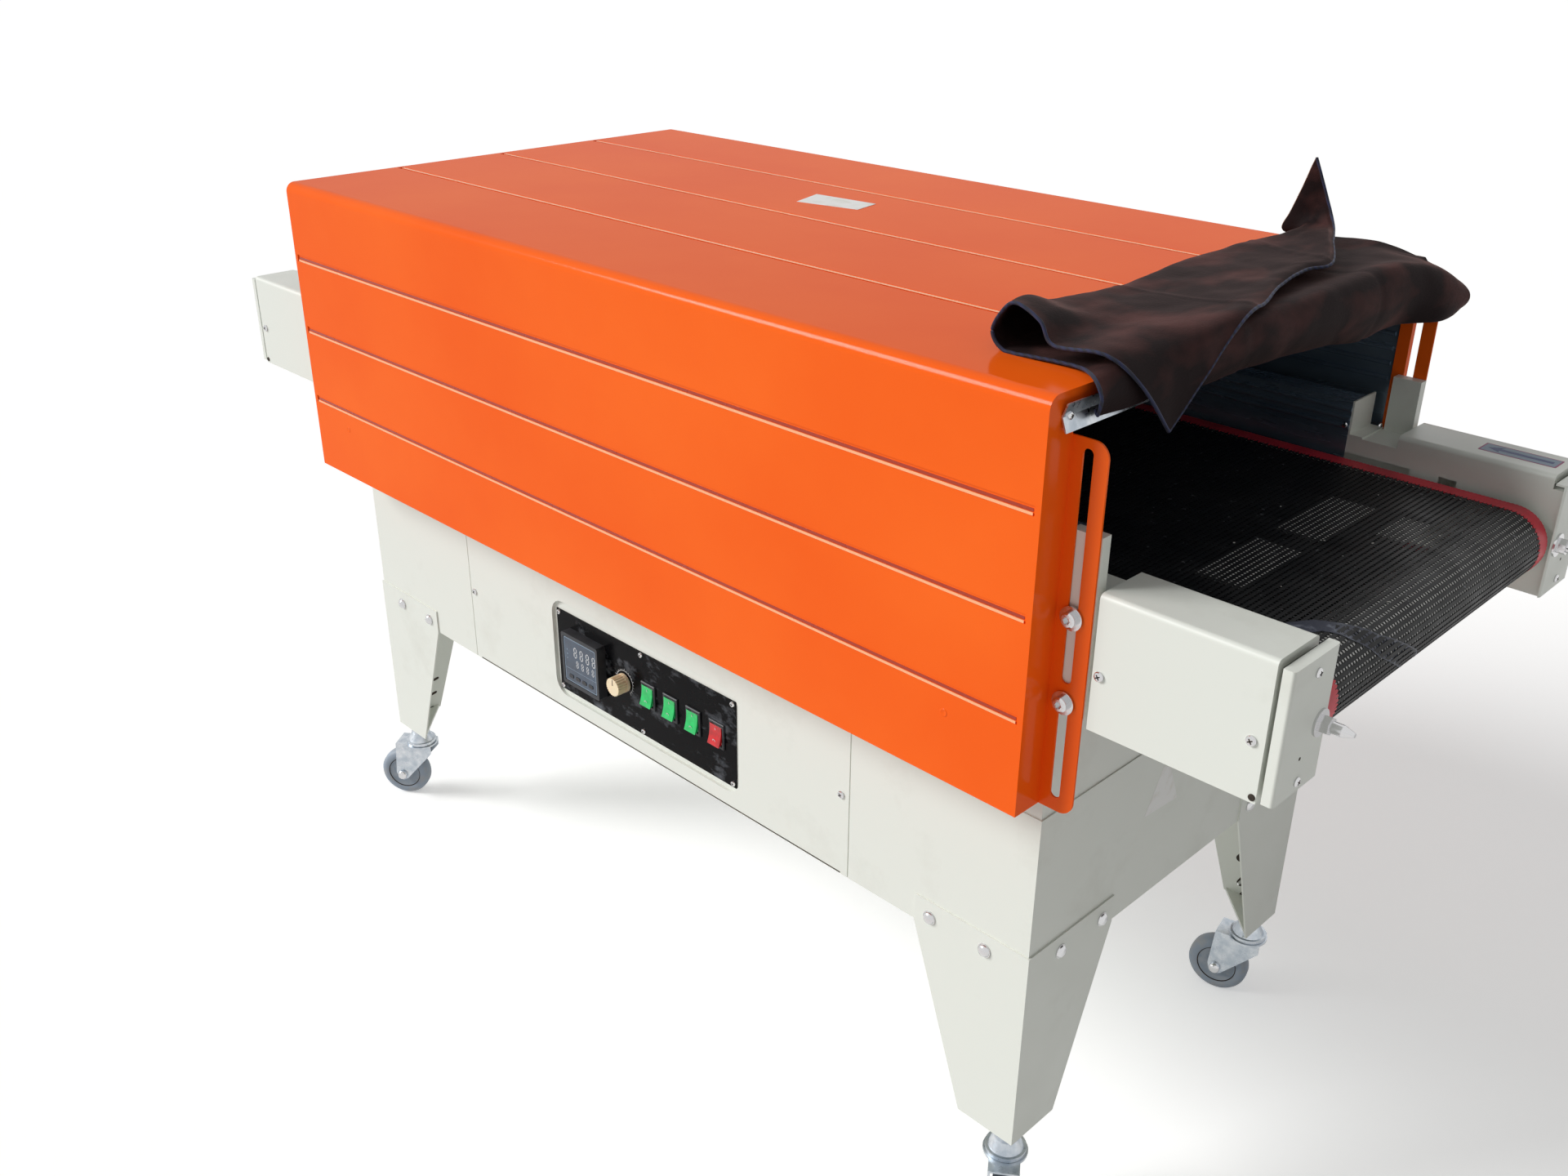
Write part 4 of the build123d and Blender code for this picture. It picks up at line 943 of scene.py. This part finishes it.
class DressRails(bpy.types.Operator):
    """Adds the screws and the arrow to the covers, and finishes the shields"""
    bl_idname = "dryer.rails"
    bl_label = "Rails and covers"

    def execute(self, context):
        dress("heat_shield_front", "liner")
        dress("heat_shield_rear", "liner")
        dress("clamp_bolts", "bright")
        dress("tensioners", "bright")
        screws = Shape()
        for row in ("front", "rear"):
            for column in ("left", "right"):
                self.cover_screws(screws, row, column)
        screws.build("cover_screws", "base", ["bright", "gap"])
        self.skirts()
        self.folds()
        self.wool()
        self.arrow()
        return {"FINISHED"}

    def cover_screws(self, screws, row, column):
        """Screws on one cover's skirt, its end plate, the shield and its bracket."""
        front, right = row == "front", column == "right"
        side = -1 if front else 1
        step = 1 if right else -1
        x_side = "+x" if right else "-x"
        y_side, y_inward = ("-y", "+y") if front else ("+y", "-y")
        low, high = corners(f"rail_cover_{row}_{column}")
        y = low.y if front else high.y
        near, far = (low.x, high.x) if right else (high.x, low.x)
        for x in (near + step * COVER_SCREW_INSETS[0], far - step * COVER_SCREW_INSETS[1]):
            pan_screw(screws, "cover", facing(y_side, x, y, COVER_SCREW_HEIGHT), 30)
        inset, rise = LIP_SCREW_INSETS
        pan_screw(screws, "lip", facing(y_side, far - step * inset, y, low.z + rise), 30, 1)
        low, high = corners(f"end_plate_{row}_{column}")
        x = high.x if right else low.x
        pan_screw(screws, "end_plate", facing(x_side, x, side * TOP_SCREW[0], high.z - TOP_SCREW[1]), 10)
        pan_screw(screws, "end_plate", facing(x_side, x, side * FOOT_SCREW[0], low.z + FOOT_SCREW[1]), 55)
        # The hole is a flat dark disc: painted shade.
        hole = facing(x_side, x, side * PLATE_HOLE[0], low.z + PLATE_HOLE[1])
        screws.prism(polygon(1.6, 12), 0.01, 0.1, hole, 1)
        low, high = corners("shield_brackets")
        x = high.x if right else low.x
        inset, drop = BRACKET_SCREW_INSETS
        pan_screw(screws, "bracket", facing(x_side, x, side * (high.y - inset), high.z - drop), 40)
        low, high = corners(f"heat_shield_{row}")
        y = high.y if front else low.y
        inset, rise = SHIELD_SCREW_INSETS
        x = high.x - inset if right else low.x + inset
        pan_screw(screws, "shield", facing(y_inward, x, y, low.z + rise), 15)

    def skirts(self):
        """The shields' lower parts, over the rails' inner faces."""
        low, high = corners("heat_shield_front")
        face = abs(corners("rail_front")[1].y)
        skirts = Shape()
        outline = rectangle(low.x, high.x, corners("belt")[1].z - SKIRT_OVERLAP, low.z + 1)
        for side in (-1, 1):
            skirts.prism(outline, side * 0.05, side * 0.45, facing("-y", 0, side * face, 0))
        skirts.build("shield_skirts", "base", ["liner"], smooth=False)

    def folds(self):
        """The lengthwise folds in the hood's liner."""
        folds = Shape()
        end = corners("clamp_strip_right")[0].x - FOLD_END
        for y in (-LINER_FACE, LINER_FACE):
            for k in range(FOLDS):
                z = FOLD_LOW + FOLD_STEP * k
                folds.tube([(-end, y, z), (end, y, z)], FOLD_RADIUS, 10)
        folds.build("liner_folds", "hood", ["liner"])

    def wool(self):
        """A tuft of insulation that has worked out of the hood's wall."""
        tuft = Shape()
        for _ in range(WOOL_BALLS):
            radius = random.uniform(2.0, 5.0)
            scatter = Vector((random.uniform(-3, 4), random.uniform(-5, 5), random.uniform(-13, 13)))
            ball = [(0.05, -radius), (radius * 0.7, -radius * 0.7), (radius, 0), (radius * 0.7, radius * 0.7),
                    (0.05, radius)]
            tuft.revolve(ball, Matrix.Translation(Vector(WOOL_PLACE) + scatter), 10)
        tuft.build("wool_tuft", "hood", ["wool"])

    def arrow(self):
        """A plain direction arrow on the rear cover at the infeed end."""
        place = facing("+z", *ARROW_PLACE, corners("rail_cover_rear_right")[1].z)
        length, width = ARROW_SIZE
        arrow = Shape()
        arrow.prism(round_rectangle(length, width, 1.5), 0.02, 0.14, place)
        arrow.prism(round_rectangle(length - 3.5, width - 3.5, 1.0), 0.15, 0.2, place, 1)
        end, head = length / 2 - 6, width / 2 - 4
        outline = [(-end, 0), (14 - end, -head), (11 - end, -2.8), (end, -2.8), (end, 2.8), (11 - end, 2.8),
                   (14 - end, head)]
        arrow.prism(outline, 0.21, 0.3, place, 2)
        arrow.build("direction_arrow", "base", ["mauve_ink", "grey_ink", "blue_ink"])


WHEEL_RADIUS, WHEEL_WIDTH = 38, 22
WHEEL_STEPS = 56
AXLE_END = 19.5
AXLE_CAP = [(7.0, -0.4), (6.8, 0.6), (5.6, 2.0), (3.2, 2.9), (0.05, 3.2)]
# Half profiles of the wheel: the share of its radius, and the distance inwards from its side.
TREAD = ((0.66, 0.6), (0.7, 0), (0.86, 0.3), (0.95, 2.4), (0.99, 5.2))
CORE = ((0.6, 1.6), (0.645, 1.0), (0.655, 2.4))
SEAM = ((0.63, 1.3), (0.665, 0.2), (0.665, 1.5), (0.63, 1.8))
# The hub, as radius and distance inwards from the wheel's side.
HUB = ((4.6, -2.2), (8.2, -2.2), (8.8, 0.6))


class DressCasters(bpy.types.Operator):
    """Finishes the casters and makes their wheels"""
    bl_idname = "dryer.casters"
    bl_label = "Casters"

    def execute(self, context):
        joints = {joint["name"]: joint for joint in frame["joints"]}
        for name in ("front_left", "front_right", "rear_left", "rear_right"):
            dress(f"caster_fork_{name}", "zinc")
            dress(f"caster_stem_{name}", "zinc")
            spin = joints[f"wheel_spin_{name}"]
            axis = Vector(spin["axis"])
            across = Vector((0, 0, 1)).cross(axis).normalized()
            turn = Matrix((across, axis.cross(across), axis)).transposed().to_4x4()
            place = Matrix.Translation(Vector(spin["pos_m"]) / MM) @ turn
            self.wheel(name, place)
            self.axle_ends(name, place)
        return {"FINISHED"}

    def wheel(self, name, place):
        """A tyre on its core, with the dark seam between them."""
        half = WHEEL_WIDTH / 2
        tread = [(WHEEL_RADIUS * share, inwards - half) for share, inwards in TREAD]
        core = [(radius, inwards - half) for radius, inwards in HUB]
        core += [(WHEEL_RADIUS * share, inwards - half) for share, inwards in CORE]
        wheel = Shape()
        wheel.revolve(mirrored(tread, [(WHEEL_RADIUS, 0)]), place, WHEEL_STEPS, closed=True)
        wheel.revolve(mirrored(core), place, WHEEL_STEPS, 1, closed=True)
        for side in (-1, 1):
            seam = [(WHEEL_RADIUS * share, side * (half - inwards)) for share, inwards in SEAM]
            wheel.revolve(seam, place, WHEEL_STEPS, 2, closed=True)
        piece = wheel.build(f"wheel_{name}", f"wheel_{name}", ["tyre", "core", "gap"])
        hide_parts(f"caster_wheel_{name}")

    def axle_ends(self, name, place):
        """The axle's domed ends on the fork's cheeks."""
        ends = Shape()
        for turn in (0, math.pi):
            outwards = Matrix.Rotation(turn, 4, "X") @ Matrix.Translation((0, 0, AXLE_END))
            ends.revolve(AXLE_CAP, place @ outwards)
        ends.build(f"axle_ends_{name}", f"fork_{name}", ["bright"])


def mirrored(profile, middle=()):
    """A half profile, what lies in its middle, and its mirror image."""
    return [*profile, *middle, *[(radius, -height) for radius, height in reversed(profile)]]


class DressCurtain(bpy.types.Operator):
    """Makes the velvet curtain that is thrown back over the hood's end"""
    bl_idname = "dryer.curtain"
    bl_label = "Curtain"

    def execute(self, context):
        settings = context.scene.dryer_curtain
        lines = [curve([Vector(p) for p in line], settings.steps) for line in CURTAIN]
        rows = [curve(list(row), settings.steps) for row in zip(*lines)]
        rows = self.creased(rows, settings.crease / MM)
        cloth = self.cloth(rows)
        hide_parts("curtain")
        hems = self.hems(rows)
        return {"FINISHED"}

    def creased(self, rows, height):
        """Adds small creases and two old fold lines, and keeps the cloth on top of the hood."""
        high = corners("hood_shell")[1]
        high.x = corners("clamp_strip_right")[0].x
        creased = []
        for r, row in enumerate(rows):
            line = []
            for k, point in enumerate(row):
                share = k / (len(row) - 1)
                lift = noise.noise(Vector((point.x / 55, point.y / 40, r / 24)))
                lift += 0.4 * noise.noise(Vector((point.x / 17, point.y / 21, r / 9)))
                lift += sum(0.7 * math.exp(-((share - fold) / FOLD_SOFTNESS) ** 2) for fold in FOLD_LINES)
                line.append(settled(point + height * lift * grid_normal(rows, r, k), high))
            creased.append(line)
        return creased

    def cloth(self, rows):
        """The sheet with its thickness."""
        count = len(rows[0])
        back = len(rows) * count
        points = []
        for side in (1, -1):
            for r, row in enumerate(rows):
                points += [point + side * CLOTH / 2 * grid_normal(rows, r, k) for k, point in enumerate(row)]
        faces = []
        for r in range(len(rows) - 1):
            for a in range(r * count, r * count + count - 1):
                faces.append((a, a + 1, a + count + 1, a + count))
                faces.append((back + a, back + a + count, back + a + count + 1, back + a + 1))
        rim = list(range(count))
        rim += [r * count + count - 1 for r in range(1, len(rows))]
        rim += [(len(rows) - 1) * count + k for k in range(count - 2, -1, -1)]
        rim += [r * count for r in range(len(rows) - 2, 0, -1)]
        faces += [(a, back + a, back + b, b) for a, b in zip(rim, rim[1:] + rim[:1])]
        shape = Shape()
        shape.add(points, faces)
        return shape.build("curtain_cloth", "hood", ["velvet"])

    def hems(self, rows):
        """The overlocked hems at the front and bottom and the bare edge at the rear."""
        shape = Shape()
        shape.tube([row[0] for row in rows], HEM, 8)
        shape.tube(rows[-1], HEM, 8)
        shape.tube([row[-1] for row in rows], SELVEDGE, 6, 1)
        return shape.build("curtain_hems", "hood", ["thread", "selvedge"])


def curve(points, steps):
    """A smooth line through all the points."""
    ends = [2 * points[0] - points[1], *points, 2 * points[-1] - points[-2]]
    line = []
    for k in range(len(points) - 1):
        p0, p1, p2, p3 = ends[k:k + 4]
        bend = 2 * p0 - 5 * p1 + 4 * p2 - p3
        swing = 3 * p1 - p0 - 3 * p2 + p3
        for s in range(steps):
            t = s / steps
            line.append(p1 + 0.5 * t * (p2 - p0 + t * (bend + t * swing)))
    line.append(points[-1].copy())
    return line


def grid_normal(rows, r, k):
    """The normal of a grid of points at one of them."""
    above, below = rows[min(r + 1, len(rows) - 1)][k], rows[max(r - 1, 0)][k]
    after, before = rows[r][min(k + 1, len(rows[r]) - 1)], rows[r][max(k - 1, 0)]
    return (above - below).cross(after - before).normalized()


def settled(point, high):
    """Keeps a point of the cloth's middle just above the hood's top and its rounded edge."""
    if point.x > high.x or abs(point.y) > high.y or point.z < high.z - HOOD_BEND:
        return point
    over = max(0.0, abs(point.y) - (high.y - HOOD_BEND))
    roof = high.z - HOOD_BEND + math.sqrt(HOOD_BEND ** 2 - over ** 2) + CLOTH / 2 + 0.1
    return Vector((point.x, point.y, max(point.z, roof)))



# The share is a guess.
# In millimetres: the cloth's thickness, the radius of its hem and of its bare edge, and the hood's bend.
CLOTH, HEM, SELVEDGE, HOOD_BEND = 2.2, 1.6, 0.96, 12
# Two old fold lines, as shares of the width from the front edge, and how far each one spreads.
FOLD_LINES, FOLD_SOFTNESS = (0.36, 0.7), 0.006
# Lines down the cloth from the clamp strip to the hem, from the front edge to the rear one, in millimetres.
CURTAIN = (
    ((607.4, -279, 930), (611, -280, 926), (617, -287, 944), (606, -284, 957), (575, -262, 953.5),
     (530, -262, 951.5), (503, -262, 951), (489, -262, 967), (507, -262, 992), (535, -262, 983),
     (551, -262, 966), (600, -262, 969), (621, -237, 942), (622, -189, 893)),
    ((607.4, -235, 930), (610, -236, 924), (614, -238, 942), (607, -236, 960), (575, -230, 954),
     (520, -228, 951.5), (490, -228, 951), (476, -228, 966), (492, -226, 988), (520, -222, 982),
     (545, -215, 967), (592, -205, 969), (619, -196, 952), (622, -176, 903)),
    ((607.4, -180, 929), (611, -180, 922), (615, -180, 940), (608, -178, 961), (575, -175, 954),
     (520, -172, 951.5), (482, -172, 951), (470, -171, 961), (482, -170, 974), (515, -168, 970),
     (550, -165, 967), (592, -160, 970), (618, -152, 963), (625, -141, 938)),
    ((607.4, -110, 928), (613, -110, 918), (621, -110, 940), (611, -108, 961), (575, -105, 954),
     (520, -100, 951.5), (480, -98, 951), (469, -96, 958), (480, -95, 967), (510, -95, 967),
     (550, -92, 967), (590, -90, 970), (612, -90, 973), (622, -88, 969)),
    ((607.4, -40, 927), (613, -40, 917), (624, -40, 940), (612, -38, 961), (575, -36, 955), (520, -36, 952),
     (480, -38, 951), (471, -42, 957), (480, -40, 965), (510, -38, 966), (545, -36, 967), (580, -33, 970),
     (600, -31, 972), (609, -30, 970)),
    ((607.4, 40, 924), (613, 40, 912), (625, 40, 938), (613, 41, 961), (575, 42, 955), (515, 44, 952),
     (470, 50, 951), (457, 55, 957), (468, 52, 965), (500, 48, 966), (530, 45, 967), (560, 42, 969),
     (577, 41, 971), (585, 40, 968.5)),
    ((607.4, 110, 920), (613, 110, 905), (626, 110, 934), (614, 112, 961), (575, 113, 956), (515, 116, 952),
     (466, 120, 951), (455, 122, 957), (466, 120, 965), (495, 117, 966), (525, 114, 967), (552, 112, 969),
     (566, 111, 971), (573, 111, 968.5)),
    ((607.4, 170, 915), (613, 170, 898), (627, 170, 930), (615, 170, 961), (575, 170, 956), (515, 180, 952),
     (470, 200, 951), (457, 205, 957), (468, 200, 965), (500, 185, 966), (535, 170, 968), (560, 160, 971),
     (572, 153, 972), (579, 150, 969)),
    ((607.4, 240, 912), (613, 240, 899), (628, 240, 928), (616, 240, 960), (575, 240, 955), (515, 245, 952),
     (480, 255, 951), (470, 258, 958), (476, 257, 967), (492, 252, 968), (508, 247, 970), (522, 242, 972),
     (530, 239, 973), (537, 236, 970)),
    ((610, 288, 918), (637, 290, 898), (642, 290, 915), (626, 292, 948), (575, 300, 953), (520, 300, 952),
     (478, 300, 951), (462, 306, 957), (468, 308, 966), (476, 310, 970), (482, 312, 972), (488, 313, 973),
     (492, 314, 974), (496, 315, 974)),
    ((612, 336, 918), (628, 346, 898), (642, 345, 912), (632, 345, 926), (590, 340, 944), (545, 338, 955),
     (500, 334, 954), (455, 320, 953), (440, 315, 958), (446, 315, 975), (452, 315, 992), (458, 315, 1010),
     (463, 315, 1026), (467, 315, 1037)),
)


FLOOR_REACH = 60
FLOOR_LIFT = 0.38
SUN_FROM = Vector((-0.64, -0.62, 0.52))
SUN_SOFTNESS = 24
CAMERA_PLACE = Vector((1.2168, -1.2226, 1.3035))
CAMERA_AZIMUTH = 45.364
CAMERA_ELEVATION = 25.788
CAMERA_ROLL = 0.235
CAMERA_LENS = 33.733


class MakeStage(bpy.types.Operator):
    """Makes the floor, the lights, the world and the camera"""
    bl_idname = "dryer.stage"
    bl_label = "Stage"

    def execute(self, context):
        settings = context.scene.dryer_stage
        self.floor(settings.floor)
        self.world(settings.surround)
        self.sun(settings.sun)
        self.camera()
        context.scene.view_settings.view_transform = "Standard"
        return {"FINISHED"}

    def floor(self, colour):
        """A white floor that keeps the part's shadow."""
        mesh = bpy.data.meshes.new("floor")
        outline = rectangle(-FLOOR_REACH, FLOOR_REACH, -FLOOR_REACH, FLOOR_REACH)
        mesh.from_pydata([(x, y, 0) for x, y in outline], [], [(0, 1, 2, 3)])
        floor = bpy.data.objects.new("floor", mesh)
        bpy.context.scene.collection.objects.link(floor)
        material, tree, shader = new_material("Studio paper, matt, white", {
            "Base Color": linear(colour), "Roughness": 0.9, "Specular IOR Level": 0.0,
            "Emission Color": (1, 1, 1, 1)})
        seen = seen_ray(tree, add(tree, "ShaderNodeLightPath"))
        lift = add(tree, "ShaderNodeMath", {0: seen, 1: FLOOR_LIFT}, operation="MULTIPLY")
        tree.links.new(lift.outputs[0], shader.inputs["Emission Strength"])
        mesh.materials.append(material)

    def world(self, strength):
        """An even surround that shows white behind the part."""
        world = bpy.data.worlds.new("Studio")
        bpy.context.scene.world = world
        world.use_nodes = True
        tree = world.node_tree
        tree.nodes.clear()
        plain = add(tree, "ShaderNodeBackground", {"Color": (1, 1, 1, 1), "Strength": strength})
        white = add(tree, "ShaderNodeBackground", {"Color": (1, 1, 1, 1), "Strength": 1.0})
        seen = seen_ray(tree, add(tree, "ShaderNodeLightPath"))
        mix = add(tree, "ShaderNodeMixShader", {0: seen, 1: plain.outputs[0], 2: white.outputs[0]})
        output = add(tree, "ShaderNodeOutputWorld")
        tree.links.new(mix.outputs[0], output.inputs["Surface"])

    def sun(self, strength):
        """One large soft light from the front left."""
        light = bpy.data.lights.new("Sun", "SUN")
        light.energy = strength
        light.angle = math.radians(SUN_SOFTNESS)
        lamp = bpy.data.objects.new("Sun", light)
        bpy.context.scene.collection.objects.link(lamp)
        lamp.rotation_euler = SUN_FROM.to_track_quat("Z", "Y").to_euler()

    def camera(self):
        """The camera as solved from the photo."""
        data = bpy.data.cameras.new("Camera")
        data.sensor_width = 36
        data.lens = CAMERA_LENS
        camera = bpy.data.objects.new("Camera", data)
        bpy.context.scene.collection.objects.link(camera)
        turn = Matrix.Rotation(math.radians(CAMERA_AZIMUTH), 4, "Z")
        tilt = Matrix.Rotation(math.radians(90 - CAMERA_ELEVATION), 4, "X")
        roll = Matrix.Rotation(math.radians(CAMERA_ROLL), 4, "Z")
        camera.matrix_world = Matrix.Translation(CAMERA_PLACE) @ turn @ tilt @ roll
        bpy.context.scene.camera = camera


def seen_ray(tree, path):
    """1 for the rays that show the background: to the camera, in metal and through glass."""
    seen = path.outputs["Is Camera Ray"]
    for kind in ("Is Transmission Ray", "Is Glossy Ray"):
        inputs = {0: seen, 1: path.outputs[kind]}
        seen = add(tree, "ShaderNodeMath", inputs, operation="MAXIMUM").outputs[0]
    return seen


class DryerPanel(bpy.types.Panel):
    """Lists the dryer's pieces in the sidebar"""
    bl_idname = "VIEW3D_PT_dryer"
    bl_label = "Tunnel dryer"
    bl_space_type = "VIEW_3D"
    bl_region_type = "UI"
    bl_category = "Dryer"

    def draw(self, context):
        for operator in STEPS:
            self.layout.operator(operator.bl_idname)
        for group in ("dryer_colours", "dryer_belt", "dryer_curtain", "dryer_stage"):
            settings = getattr(context.scene, group)
            for name in settings.bl_rna.properties.keys():
                if name not in ("rna_type", "name"):
                    self.layout.prop(settings, name)


STEPS = (DressHood, DressStrips, DressBase, DressControls, DressBelt, DressRails, DressCasters, DressCurtain,
         MakeStage)
GROUPS = {"dryer_colours": DryerColours, "dryer_belt": DryerBelt, "dryer_curtain": DryerCurtain,
          "dryer_stage": DryerStage}


def register():
    for group, settings in GROUPS.items():
        bpy.utils.register_class(settings)
        setattr(bpy.types.Scene, group, bpy.props.PointerProperty(type=settings))
    for operator in STEPS:
        bpy.utils.register_class(operator)
    bpy.utils.register_class(DryerPanel)


def unregister():
    bpy.utils.unregister_class(DryerPanel)
    for operator in reversed(STEPS):
        bpy.utils.unregister_class(operator)
    for group, settings in GROUPS.items():
        delattr(bpy.types.Scene, group)
        bpy.utils.unregister_class(settings)


def main():
    register()
    random.seed(7)
    for operator in STEPS:
        category, name = operator.bl_idname.split(".")
        getattr(getattr(bpy.ops, category), name)()


if __name__ == "__main__":
    main()
